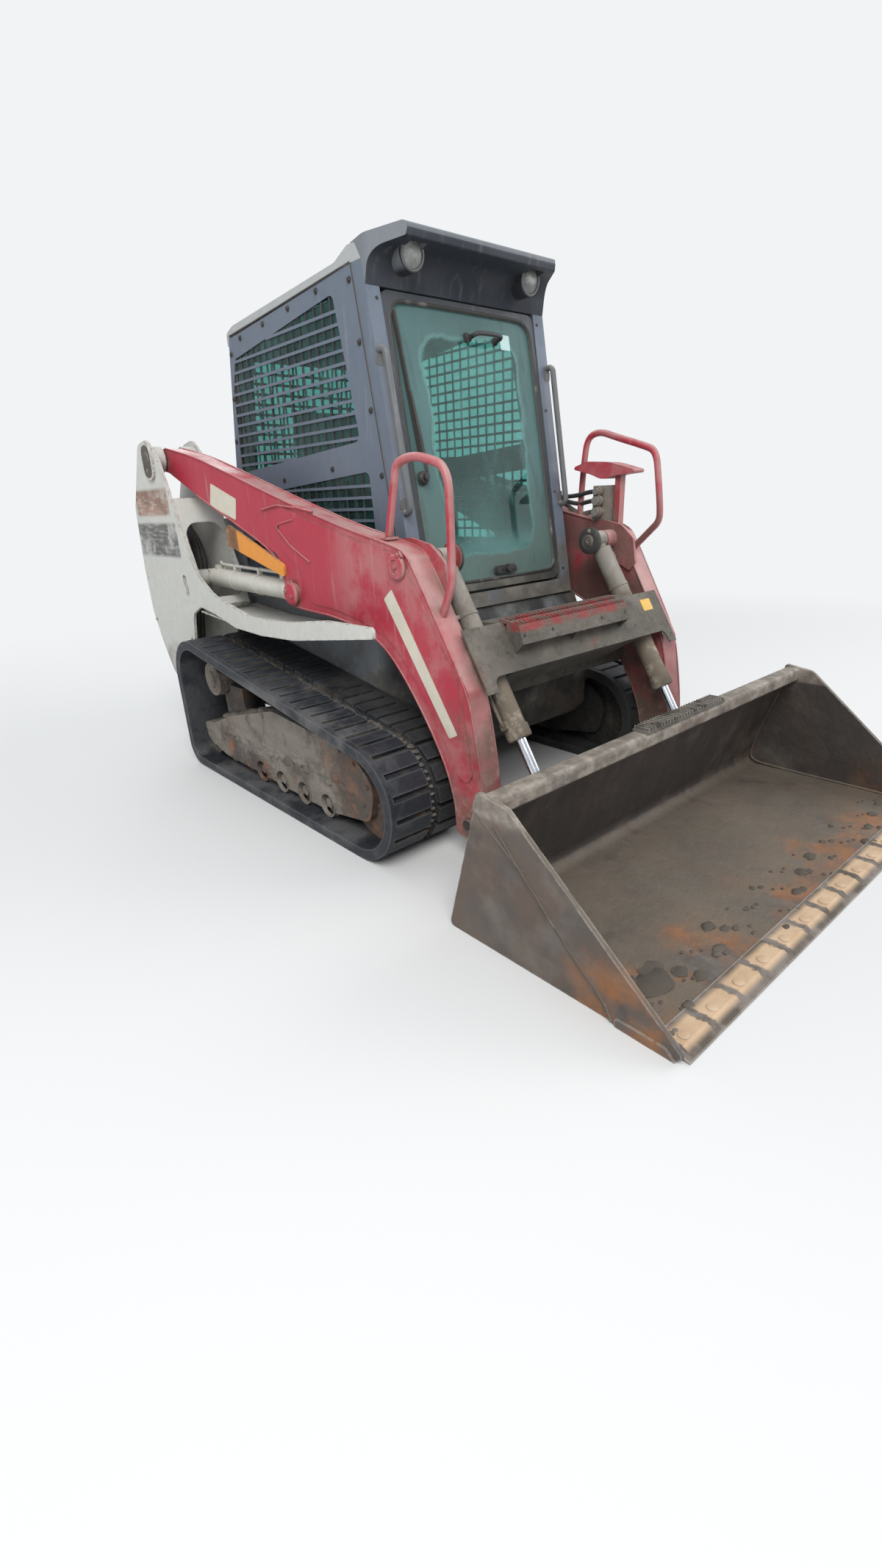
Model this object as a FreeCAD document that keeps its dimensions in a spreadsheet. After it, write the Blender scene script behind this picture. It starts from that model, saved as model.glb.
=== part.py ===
import FreeCAD, Part
import math
import os

Vector = FreeCAD.Vector
os.makedirs("parts", exist_ok=True)
doc = FreeCAD.newDocument("track_loader")

# Driving dimensions in millimetres: name, value, meaning.
# X is across the machine (+X its left side), -Y is its front, +Z is up, Z = 0 is the ground.
DIMENSIONS = (
    ("track_outer", 1000, "half width over the two tracks"),
    ("track_width", 450, "width of one rubber track"),
    ("belt_thick", 26, "thickness of the belt under the lugs"),
    ("lug_height", 22, "height of a lug"),
    ("rim_width", 26, "smooth rim along each edge of the track"),
    ("lug_length", 178, "length of a lug across the track"),
    ("lug_share", 0.74, "part of the pitch that a lug fills"),
    ("lug_count", 54, "lugs round the loop"),
    ("idler_y", -343, "front idler centre"),
    ("idler_radius", 247, "track's outer radius round the front idler"),
    ("tail_y", 1230, "rear idler centre"),
    ("tail_radius", 120, "track's outer radius round the rear idler"),
    ("sprocket_y", 1125, "drive sprocket centre"),
    ("sprocket_z", 500, "drive sprocket centre"),
    ("sprocket_radius", 225, "track's outer radius round the sprocket"),
    ("roller_radius", 68, "bottom rollers"),
    ("wheel_width", 230, "width of idlers, sprocket and rollers"),
    ("frame_width", 300, "width of the track frame"),
    ("hull_gap", 10, "from a track to the side of the hull"),
    ("hull_bottom", 255, "underside of the hull above ground"),
    ("hull_top", 900, "top of the hull under the cab"),
    ("hull_front", -300, "front of the hull"),
    ("sill_y", -205, "front edge of the hull's top"),
    ("bay_front", 1285, "front wall of the engine bay"),
    ("rear_end", 1870, "rearmost line of the machine"),
    ("plate", 14, "thickness of the tower plates"),
    ("sheet", 8, "thickness of the lighter sheets"),
    ("hull_step", 92, "from the side of the hull out to a tower's inner plate"),
    ("tower_depth", 248, "from a tower's inner plate to its outer face"),
    ("tower_rise", 95, "top of the towers above the arm pivot"),
    ("web_top", 1420, "top edge of the tower's front web"),
    ("pivot_y", 1480, "arm pivot"),
    ("pivot_z", 1612, "arm pivot"),
    ("pivot_pin", 32, "radius of the arm pivot pin"),
    ("arm_half", 50, "half thickness of a loader arm"),
    ("arm_inset", 126, "from a tower's inner plate to the arm's middle plane at the pivot"),
    ("arm_toe", 103, "how far an arm closes in from the pivot to the front datum"),
    ("arm_datum_y", -600, "front datum where the arm's place is measured"),
    ("arm_wall", 12, "side plates of an arm"),
    ("boss_radius", 62, "bosses round the arm pivot"),
    ("boss_gap", 6, "from a boss to the arm between the tower plates"),
    ("hoop_radius", 15, "handrail hoops on the arms"),
    ("lock_thick", 12, "thickness of the boom lock brace"),
    ("hitch_y", -700, "lower pin at the foot of the arms"),
    ("hitch_z", 165, "lower pin at the foot of the arms"),
    ("hitch_pin", 25, "radius of the lower pins"),
    ("lift_base_y", 1330, "lift cylinder's base pin"),
    ("lift_base_z", 1015, "lift cylinder's base pin"),
    ("lift_rod_y", 363, "lift cylinder's rod pin"),
    ("lift_rod_z", 995, "lift cylinder's rod pin"),
    ("lift_bore", 48, "outer radius of the lift barrel"),
    ("lift_shaft", 27, "radius of the lift rod"),
    ("lift_dead", 92, "from the rod pin to the barrel's end when retracted"),
    ("tilt_inset", 155, "from an arm's middle plane at the front datum to its tilt cylinder"),
    ("tilt_cap", 58, "radius of the cap on a tilt cylinder's upper pin"),
    ("tilt_base_y", -372, "tilt cylinder's base pin"),
    ("tilt_base_z", 1145, "tilt cylinder's base pin"),
    ("tilt_rod_y", -893, "tilt cylinder's rod pin"),
    ("tilt_rod_z", 330, "tilt cylinder's rod pin"),
    ("tilt_bore", 44, "outer radius of the tilt barrel"),
    ("tilt_shaft", 22, "radius of the tilt rod"),
    ("tilt_barrel", 772, "from the base pin to the barrel's end"),
    ("eye_half", 28, "half width of a cylinder's eye"),
    ("eye_radius", 42, "outer radius of a cylinder's eye"),
    ("eye_neck", 12, "from an eye to the barrel's end plate"),
    ("pin_radius", 20, "radius of the cylinders' pins"),
    ("pin_play", 0.4, "radial play round a pin"),
    ("eye_play", 6, "side play beside an eye"),
    ("cab_inset", 35, "from the side of the hull in to the side of the cab"),
    ("cab_wall", 6, "bolted side panels of the cab"),
    ("cab_post", 62, "depth of the cab's posts"),
    ("door_border", 27, "width of the front door's frame round its pane"),
    ("glass", 6, "thickness of the panes"),
    ("roof_rear_z", 2160, "roof edge at the rear"),
    ("roof_front_z", 2222, "roof edge at the front"),
    ("visor_y", -156, "front lip of the visor"),
    ("visor_z", 2292, "top of the visor"),
    ("visor_low", 2118, "where the visor meets the cab's front"),
    ("visor_taper", 95, "how much narrower the visor's lip is than the cab, each side"),
    ("lamp_inset", 79, "work lamps from the ends of the visor's lip"),
    ("lamp_y", -79, "face of the work lamps"),
    ("lamp_z", 2217, "centre of the work lamps"),
    ("lamp_radius", 45, "radius of the work lamps"),
    ("pod_radius", 59, "radius of the pods round the work lamps"),
    ("visor_back_z", 2262, "top of the visor where it meets the roof"),
    ("bar_inset", 15, "from the side of the cab in to the grab bars"),
    ("bar_radius", 13, "radius of the grab bars"),
    ("mesh_column", 62, "pitch of the upright bars in the window guards"),
    ("mesh_row", 46, "pitch of the level bars in the window guards"),
    ("mesh_bar", 12, "width of a bar in the window guards"),
    ("bucket_half", 1067, "half width of the bucket"),
    ("bucket_tip", -1870, "cutting edge of the bucket"),
    ("bucket_heel", -965, "heel of the bucket"),
    ("bucket_back", -1118, "top rear corner of the bucket"),
    ("bucket_height", 548, "height of the bucket's side plates"),
    ("bucket_side", 12, "thickness of the bucket's side plates"),
    ("bucket_strip", 6, "thickness of the doubler along a side plate's edge"),
    ("bucket_shoe", 6, "thickness of the wear strip along the foot of the doubler"),
    ("bucket_shell", 14, "thickness of the bucket's floor and back"),
    ("edge_depth", 170, "depth of the bolt-on cutting edge"),
    ("edge_thick", 20, "thickness of the bolt-on cutting edge"),
    ("coupler_reach", 100, "from a tilt cylinder out to the end of the bucket coupler"),
    ("coupler_thick", 60, "thickness of the bucket coupler"),
    ("coupler_top", 455, "top of the bucket coupler"),
    ("hood_z", 1400, "top of the engine hood"),
    ("hood_pin_y", 1330, "hinge pins of the engine hood"),
    ("hood_pin_z", 1370, "hinge pins of the engine hood"),
    ("hood_pin", 12, "radius of the hood's hinge pins"),
    ("door_gap", 10, "gap beside the rear door, filled by its hinge"),
    ("hinge_y", 1862, "axis of the rear door's hinge"),
    ("hinge_radius", 4.6, "knuckles of the rear door's hinge"),
    ("tie_bore", 28, "radius of the tie-down holes"),
    ("tie_thick", 30, "thickness of the tie-down lugs"),
    ("tie_rear_x", 430, "tie-down lugs from the middle"),
    ("door_thick", 50, "thickness of the rear door"),
    ("gap", 8, "gap between moving panels and what is beside them"),
    ("seat", 0.3, "clearance where a round piece seats"),
)

sheet = doc.addObject("Spreadsheet::Sheet", "Sizes")
for row, (alias, value, meaning) in enumerate(DIMENSIONS, 1):
    sheet.set(f"A{row}", alias)
    sheet.set(f"B{row}", str(value))
    sheet.set(f"C{row}", meaning)
    sheet.setAlias(f"B{row}", alias)
doc.recompute()
d = {alias: float(sheet.get(alias)) for alias, value, meaning in DIMENSIONS}

# What is worked out from the driving dimensions, from the tracks inwards and out again.
track_mid = d["track_outer"] - d["track_width"] / 2
d["hull_half"] = d["track_outer"] - d["track_width"] - d["hull_gap"]
d["tower_inner"] = d["hull_half"] + d["hull_step"]
d["tower_outer"] = d["tower_inner"] + d["tower_depth"]
d["tower_height"] = d["pivot_z"] + d["tower_rise"]
d["arm_rear_x"] = d["tower_inner"] + d["arm_inset"]
d["arm_front_x"] = d["arm_rear_x"] - d["arm_toe"]
d["tilt_x"] = d["arm_front_x"] - d["tilt_inset"]
d["coupler_half"] = d["tilt_x"] + d["coupler_reach"]
d["cab_half"] = d["hull_half"] - d["cab_inset"]
d["bar_x"] = d["cab_half"] - d["bar_inset"]
d["visor_half"] = d["cab_half"] - d["visor_taper"]
d["lamp_x"] = d["visor_half"] - d["lamp_inset"]
bay_half = d["tower_inner"] - d["plate"]
toe_in = math.atan2(d["arm_rear_x"] - d["arm_front_x"], d["pivot_y"] - d["arm_datum_y"])
d["lift_x"] = d["arm_front_x"] + (d["lift_rod_y"] - d["arm_datum_y"]) * math.tan(toe_in)
lift_reach = math.hypot(d["lift_rod_y"] - d["lift_base_y"], d["lift_rod_z"] - d["lift_base_z"])
lift_angle = math.degrees(math.atan2(d["lift_rod_z"] - d["lift_base_z"], d["lift_rod_y"] - d["lift_base_y"]))
tilt_reach = math.hypot(d["tilt_rod_y"] - d["tilt_base_y"], d["tilt_rod_z"] - d["tilt_base_z"])
tilt_angle = math.degrees(math.atan2(d["tilt_rod_z"] - d["tilt_base_z"], d["tilt_rod_y"] - d["tilt_base_y"]))
SIDES = (("r", -1), ("l", 1))


def corner_cuts(corners):
    """Where each rounded corner (u, v, radius) of a closed outline starts, turns and ends."""
    cuts = []
    for i, corner in enumerate(corners):
        here = Vector(corner[0], corner[1], 0)
        before = Vector(corners[i - 1][0], corners[i - 1][1], 0) - here
        after = Vector(corners[(i + 1) % len(corners)][0], corners[(i + 1) % len(corners)][1], 0) - here
        room = 0.49 * min(before.Length, after.Length)
        before.normalize()
        after.normalize()
        half = before.getAngle(after) / 2
        radius = corner[2] if len(corner) > 2 else 0
        reach = min(radius / math.tan(half), room)
        radius = reach * math.tan(half)
        if radius < 0.5:
            cuts.append((here, None, here))
            continue
        inward = (before + after).normalize()
        turn = here + inward * (radius / math.sin(half) - radius)
        cuts.append((here + before * reach, turn, here + after * reach))
    return cuts


def outline(corners):
    """Lines and arcs of a closed outline whose corners are (u, v) or (u, v, radius)."""
    cuts = corner_cuts(corners)
    pieces = []
    for i, (start, turn, end) in enumerate(cuts):
        if turn is not None:
            pieces.append(Part.ArcOfCircle(start, turn, end))
        following = cuts[(i + 1) % len(cuts)][0]
        if end.distanceToPoint(following) > 0.01:
            pieces.append(Part.LineSegment(end, following))
    return pieces


def ring(u, v, radius):
    """A round hole or disc of an outline."""
    return [Part.Circle(Vector(u, v, 0), Vector(0, 0, 1), radius)]


def body_on(name):
    return doc.addObject("PartDesign::Body", name)


def sketch_on(body, role, loops, offset=0):
    """A sketch on one of the body's own planes, moved along its normal by offset."""
    plane = next(item for item in body.Origin.OriginFeatures if item.Role == role)
    sketch = body.newObject("Sketcher::SketchObject", body.Name + "_sketch")
    sketch.AttachmentSupport = [(plane, "")]
    sketch.MapMode = "FlatFace"
    sketch.AttachmentOffset = FreeCAD.Placement(Vector(0, 0, offset), FreeCAD.Rotation())
    for loop in loops:
        sketch.addGeometry(loop, False)
    return sketch


def pad_on(body, role, loops, length, offset=0, midplane=False, reverse=False):
    """Pad the loops; length is a number or an expression on the sheet."""
    sketch = sketch_on(body, role, loops, offset)
    pad = body.newObject("PartDesign::Pad", body.Name + "_pad")
    pad.Profile = sketch
    pad.Midplane = midplane
    pad.Reversed = reverse
    if isinstance(length, str):
        pad.setExpression("Length", length)
    else:
        pad.Length = length
    return pad


def side_prism(name, loops, length, start):
    """A body padded along +X from X = start, its loops drawn in (y, z)."""
    body = body_on(name)
    pad_on(body, "YZ_Plane", loops, length, start)
    return body


def feature(name, shape):
    piece = doc.addObject("Part::Feature", name)
    piece.Shape = shape
    return piece


def joined(name, pieces):
    """Fuse pieces of one part that are welded together."""
    fusion = doc.addObject("Part::MultiFuse", name)
    fusion.Shapes = pieces
    fusion.Refine = True
    return fusion


def cut(name, base, tool):
    piece = doc.addObject("Part::Cut", name)
    piece.Base = base
    piece.Tool = tool
    piece.Refine = True
    return piece


def rod_x(name, x_start, x_end, y, z, radius):
    """A round bar along X; radius is a number or an expression on the sheet."""
    bar = doc.addObject("Part::Cylinder", name)
    if isinstance(radius, str):
        bar.setExpression("Radius", radius)
    else:
        bar.Radius = radius
    bar.Height = abs(x_end - x_start)
    bar.Placement = FreeCAD.Placement(Vector(min(x_start, x_end), y, z), FreeCAD.Rotation(Vector(0, 1, 0), 90))
    return bar


def rod_z(name, x, y, z_start, z_end, radius):
    """An upright round bar."""
    bar = doc.addObject("Part::Cylinder", name)
    bar.Radius = radius
    bar.Height = z_end - z_start
    bar.Placement = FreeCAD.Placement(Vector(x, y, z_start), FreeCAD.Rotation())
    return bar


def bent_bar(name, points, radius, bend):
    """A round bar along straight runs joined by arcs of radius bend."""
    points = [Vector(*point) for point in points]
    edges = []
    last = points[0]
    for before, here, after in zip(points, points[1:], points[2:]):
        back, on = (before - here).normalize(), (after - here).normalize()
        half = back.getAngle(on) / 2
        start, end = here + back * (bend / math.tan(half)), here + on * (bend / math.tan(half))
        turn = here + (back + on).normalize() * (bend / math.sin(half) - bend)
        edges += [Part.LineSegment(last, start).toShape(), Part.Arc(start, turn, end).toShape()]
        last = end
    edges.append(Part.LineSegment(last, points[-1]).toShape())
    profile = Part.Wire(Part.Circle(points[0], points[1] - points[0], radius).toShape())
    return feature(name, Part.Wire(edges).makePipeShell([profile], True, False))


def box(name, low, high):
    block = doc.addObject("Part::Box", name)
    block.Length = high[0] - low[0]
    block.Width = high[1] - low[1]
    block.Height = high[2] - low[2]
    block.Placement = FreeCAD.Placement(Vector(*low), FreeCAD.Rotation())
    return block


def span(side, near, far):
    """Lowest and highest X of a piece between two distances from the middle."""
    return sorted((side * near, side * far))


NODES = {}


def node(name, piece):
    piece.Label = name
    NODES[name] = piece
    return piece


def belt(inset):
    """The track's loop round its three wheels, inset from the lugs' tips: lines and arcs in (y, z)."""
    wheels = (
        (d["tail_y"], d["tail_radius"], d["tail_radius"]),
        (d["sprocket_y"], d["sprocket_z"], d["sprocket_radius"]),
        (d["idler_y"], d["idler_radius"], d["idler_radius"]),
    )
    wheels = [(Vector(y, z, 0), radius - inset) for y, z, radius in wheels]
    runs = []
    for i, (centre, radius) in enumerate(wheels):
        other, other_radius = wheels[(i + 1) % len(wheels)]
        along = other - centre
        lean = math.asin((radius - other_radius) / along.Length)
        heading = math.atan2(along.y, along.x) - math.pi / 2 + lean
        normal = Vector(math.cos(heading), math.sin(heading), 0)
        runs.append((centre + normal * radius, other + normal * other_radius, heading))
    path = []
    for i, (start, end, heading) in enumerate(runs):
        path.append(("line", start, end, heading))
        centre, radius = wheels[(i + 1) % len(wheels)]
        turn = (runs[(i + 1) % len(runs)][2] - heading) % (2 * math.pi)
        path.append(("arc", centre, radius, heading, turn))
    return path


def belt_loop(inset):
    pieces = []
    for step in belt(inset):
        if step[0] == "line":
            pieces.append(Part.LineSegment(step[1], step[2]))
        else:
            centre, radius, heading, turn = step[1:]
            circle = Part.Circle(centre, Vector(0, 0, 1), radius)
            pieces.append(Part.ArcOfCircle(circle, heading, heading + turn))
    return pieces


def belt_points(inset, distances):
    """Points and outward normals of the loop at distances along it."""
    path = belt(inset)
    lengths = [(step[2] - step[1]).Length if step[0] == "line" else step[2] * step[4] for step in path]
    total = sum(lengths)
    found = []
    for distance in distances:
        left = distance * total
        for step, length in zip(path, lengths):
            if left <= length:
                break
            left -= length
        if step[0] == "line":
            point = step[1] + (step[2] - step[1]) * (left / length)
            heading = step[3]
        else:
            heading = step[3] + step[4] * left / length
            point = step[1] + Vector(math.cos(heading), math.sin(heading), 0) * step[2]
        found.append((point, Vector(math.cos(heading), math.sin(heading), 0)))
    return found


def make_track(name, side):
    """One rubber track: a smooth belt with a rim at each edge and two rows of lugs between."""
    low = side * track_mid - d["track_width"] / 2
    body = body_on(name)
    lug_inset = d["lug_height"]
    inner = belt_loop(lug_inset + d["belt_thick"])
    pad_on(body, "YZ_Plane", [belt_loop(lug_inset), inner], "Sizes.track_width", low)
    count = int(d["lug_count"])
    stations = []
    for i in range(count):
        stations += [i / count, (i + d["lug_share"]) / count]
    feet = belt_points(lug_inset, stations)
    rim = []
    for i in range(count):
        for foot, raised in ((2 * i, False), (2 * i, True), (2 * i + 1, True), (2 * i + 1, False)):
            point, normal = feet[foot]
            rim.append(point + normal * (lug_inset if raised else -d["belt_thick"] / 4))
    loop = [Part.LineSegment(rim[i], rim[(i + 1) % len(rim)]) for i in range(len(rim))]
    root = belt_loop(lug_inset + d["belt_thick"] / 2)
    high = low + d["track_width"]
    for start in (low + d["rim_width"] - 1, high - d["rim_width"] - d["lug_length"] + 1):
        pad_on(body, "YZ_Plane", [loop, root], "Sizes.lug_length", start)
    for start in (low, high - d["rim_width"]):
        pad_on(body, "YZ_Plane", [belt_loop(2), root], "Sizes.rim_width", start)
    return node(name, body)


def make_track_frame(name, side):
    """Track frame with its idlers, sprocket and rollers, and the beams that tie it to the hull."""
    mid = side * track_mid
    half = d["frame_width"] / 2
    floor = d["lug_height"] + d["belt_thick"]
    low_z = floor + d["roller_radius"]
    corners = (
        (1242, 136, 50), (1030, 91, 20), (-8, 78, 60), (-334, 128, 60), (-383, 295, 100), (-280, 385, 60),
        (-1, 435, 200), (414, 465, 200), (900, 342, 100), (1130, 257, 60), (1262, 240, 30),
    )
    case = side_prism(name + "_solid", [outline(corners)], "Sizes.frame_width", mid - half)
    wheel_half = d["wheel_width"] / 2
    low = span(side, track_mid + wheel_half - 1, track_mid + half + 1)[0]
    rollers = (-8, 198, 404, 610, 816, 1010)
    mouths = [side_prism(f"{name}_mouth_{y}", [ring(y, low_z - 6, d["roller_radius"] - 16)], half - wheel_half + 2, low)
              for y in rollers[:4]]
    frame = cut(name + "_case", case, joined(name + "_mouths", mouths))
    inset = floor + d["seat"]
    pieces = [frame]
    wheels = (
        ("idler", d["idler_y"], d["idler_radius"], d["idler_radius"] - inset),
        ("tail", d["tail_y"], d["tail_radius"], d["tail_radius"] - inset),
        ("motor", d["sprocket_y"], d["sprocket_z"], 92),
    )
    for label, y, z, radius in wheels:
        pieces.append(rod_x(f"{name}_{label}", mid - wheel_half, mid + wheel_half, y, z, radius))
    tooth, teeth = d["sprocket_radius"] - inset, []
    for i in range(16):
        for turn, reach in ((-0.36, tooth - 30), (-0.16, tooth), (0.16, tooth), (0.36, tooth - 30)):
            angle = (i + turn) * math.pi / 8
            teeth.append((d["sprocket_y"] + reach * math.cos(angle), d["sprocket_z"] + reach * math.sin(angle)))
    pieces.append(side_prism(name + "_sprocket", [outline(teeth)], 60, mid - 30))
    for i, y in enumerate(rollers):
        radius = d["roller_radius"] - d["seat"]
        pieces.append(rod_x(f"{name}_roller_{i}", mid - wheel_half, mid + wheel_half, y, low_z, radius))
        pieces.append(rod_x(f"{name}_hub_{i}", mid, mid + side * (half - 8), y, low_z, 24))
    near, far = span(side, d["hull_half"], track_mid)
    pieces.append(box(name + "_front_beam", (near, 80, 200), (far, 220, 300)))
    pieces.append(box(name + "_rear_beam", (near, 720, 200), (far, 860, 300)))
    pieces.append(rod_x(name + "_drive", near, far, d["sprocket_y"], d["sprocket_z"], 95))
    pieces.append(box(name + "_idler_arm", (mid - 60, -343, 175), (mid + 60, -150, 300)))
    pieces.append(box(name + "_drive_arm", (mid - 60, 900, 250), (mid + 60, 1125, 470)))
    pieces.append(box(name + "_tail_arm", (mid - 60, 980, 90), (mid + 60, 1230, 160)))
    return node(name, joined(name, pieces))


for letter, side in SIDES:
    make_track("track_" + letter, side)
    make_track_frame("track_frame_" + letter, side)


def make_hull():
    """Lower hull under the cab, and the walls and floor of the engine bay behind it."""
    front, top, bottom = d["hull_front"], d["hull_top"], d["hull_bottom"]
    corners = (
        (front + 60, bottom, 40), (d["bay_front"], bottom), (d["bay_front"], top),
        (d["sill_y"], top), (front, 690), (front, bottom + 70, 40),
    )
    hull = side_prism("hull", [outline(corners)], 2 * d["hull_half"], -d["hull_half"])
    rear = d["rear_end"] - 190
    wings = []
    pieces = []
    wall = d["plate"]
    start = d["bay_front"] - 60
    for letter, side in SIDES:
        near, far = span(side, bay_half - wall, bay_half)
        pieces.append(side_prism("bay_wall_" + letter, [outline((
            (start, 1310), (start, 760), (1250, 760), (1400, 560), (rear, 560), (rear, 1310)))], "Sizes.plate", near))
        near, far = span(side, d["hull_half"] - wall, d["hull_half"])
        pieces.append(side_prism("bay_skirt_" + letter, [outline((
            (start, bottom), (rear, bottom), (rear, 574), (1407, 574), (1257, 774), (start, 774)))],
            "Sizes.plate", near))
        near, far = span(side, d["hull_half"] - wall, bay_half)
        pieces.append(side_prism("bay_step_" + letter, [outline((
            (start, 774), (1257, 774), (1407, 574), (rear, 574), (rear, 560), (1400, 560), (1250, 760),
            (start, 760)))], far - near, near))
        near, far = span(side, d["hull_half"] - 80, bay_half)
        wings.append(box("hull_wing_" + letter, (near, start, 760), (far, d["bay_front"], top)))
    node("main_frame", joined("main_frame", [hull] + wings))
    floor = box("bay_floor", (-d["hull_half"], d["bay_front"] - 20, bottom), (d["hull_half"], rear, bottom + wall))
    firewall = box("firewall", (-bay_half, d["bay_front"], top - 40), (bay_half, d["bay_front"] + wall, 1310))
    walls = joined("bay_walls", pieces + [floor, firewall])
    node("engine_bay", cut("engine_bay", walls, NODES["main_frame"]))


make_hull()


def arm_x(y):
    """Distance of an arm's middle plane from the machine's middle at y."""
    return d["arm_front_x"] + (y - d["arm_datum_y"]) * math.tan(toe_in)


def boss(name, side, face, seat_x, y, z, radius, bore):
    """A round boss with a bore, from a plate at seat_x to its free face."""
    ring_body = body_on(name)
    near, far = span(side, face, seat_x)
    pad_on(ring_body, "YZ_Plane", [ring(y, z, radius), ring(y, z, bore)], far - near, near)
    return ring_body


# Knuckles of the rear door's hinge: z of the lower end, and what carries it.
KNUCKLES = ((680, "frame"), (720, "door"), (760, "frame"), (1080, "frame"), (1120, "door"), (1160, "frame"))
KNUCKLE_LENGTH = 39.5


def hinge_knuckles(name, owner):
    """The owner's knuckles of the rear door's hinge; the frame's carry the pin too."""
    x, y = bay_half - d["door_gap"] / 2, d["hinge_y"]
    radius = d["hinge_radius"]
    pieces = []
    for i, (low, carrier) in enumerate(KNUCKLES):
        high = low + KNUCKLE_LENGTH
        if carrier == owner == "frame":
            pieces.append(rod_z(f"{name}_knuckle_{i}", x, y, low, high, radius))
            pieces.append(box(f"{name}_leaf_{i}", (x, 1800, low), (bay_half + 2, y + 1, high)))
        elif carrier == owner:
            sleeve = rod_z(f"{name}_sleeve_{i}", x, y, low, high, radius)
            leaf = box(f"{name}_leaf_{i}", (x - d["door_gap"], y - 20, low), (x, y + 1, high))
            bore = rod_z(f"{name}_bore_{i}", x, y, low - 1, high + 1, radius / 2 + d["seat"])
            pieces.append(cut(f"{name}_knuckle_{i}", joined(f"{name}_hinge_{i}", [sleeve, leaf]), bore))
    if owner == "frame":
        for low in (KNUCKLES[0][0], KNUCKLES[3][0]):
            pieces.append(rod_z(f"{name}_pin_{low}", x, y, low, low + 3 * KNUCKLE_LENGTH, radius / 2))
    return pieces


def make_side_plate(name, side):
    """Outer plate of a tower, which runs forward as the curved fender bar over the track."""
    rear, top = d["rear_end"], d["tower_height"]
    corners = (
        (1487, top, 60), (1373, top - 89, 40), (1303, 1449, 200), (1221, 1195, 200),
        (1119, 1048, 200), (960, 958, 300), (589, 884, 300), (238, 894, 200), (-83, 932, 300),
        (-398, 935, 20), (-398, 893, 10), (200, 818, 300), (500, 806, 200), (760, 815, 150),
        (971, 862, 90), (1147, 885, 80), (1262, 835, 60), (1300, 700, 60), (1450, 430, 80),
        (1700, 430, 90), (rear - 66, 621, 120), (rear, 800, 120), (rear, 1055, 120),
        (rear - 40, 1377, 100), (1607, top - 17, 60),
    )
    slot = outline(((1533, top - 147, 22), (1533, top - 47, 22), (1487, top - 47, 22), (1487, top - 147, 22)))
    hand_slot = outline(((1305, 930, 18), (1318, 1040, 18), (1278, 1040, 18), (1265, 930, 18)))
    near, far = span(side, d["tower_outer"] - d["plate"], d["tower_outer"])
    body = side_prism(name + "_plate", [outline(corners), slot, hand_slot], "Sizes.plate", near)
    inside = d["tower_outer"] - d["plate"]
    pivot = boss(name + "_pivot_boss", side, arm_x(d["pivot_y"]) + d["arm_half"] + d["boss_gap"], inside,
                 d["pivot_y"], d["pivot_z"], d["boss_radius"], d["pivot_pin"] + d["seat"])
    base = boss(name + "_lift_boss", side, d["lift_x"] + d["eye_half"] + d["eye_play"], inside,
                d["lift_base_y"], d["lift_base_z"], d["eye_radius"], d["pin_radius"] + d["seat"])
    cap = rod_x(name + "_cap", side * d["tower_outer"], side * (d["tower_outer"] + 10), d["pivot_y"], d["pivot_z"],
                "Sizes.boss_radius")
    return node(name, joined(name, [body, pivot, base, cap]))


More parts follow.
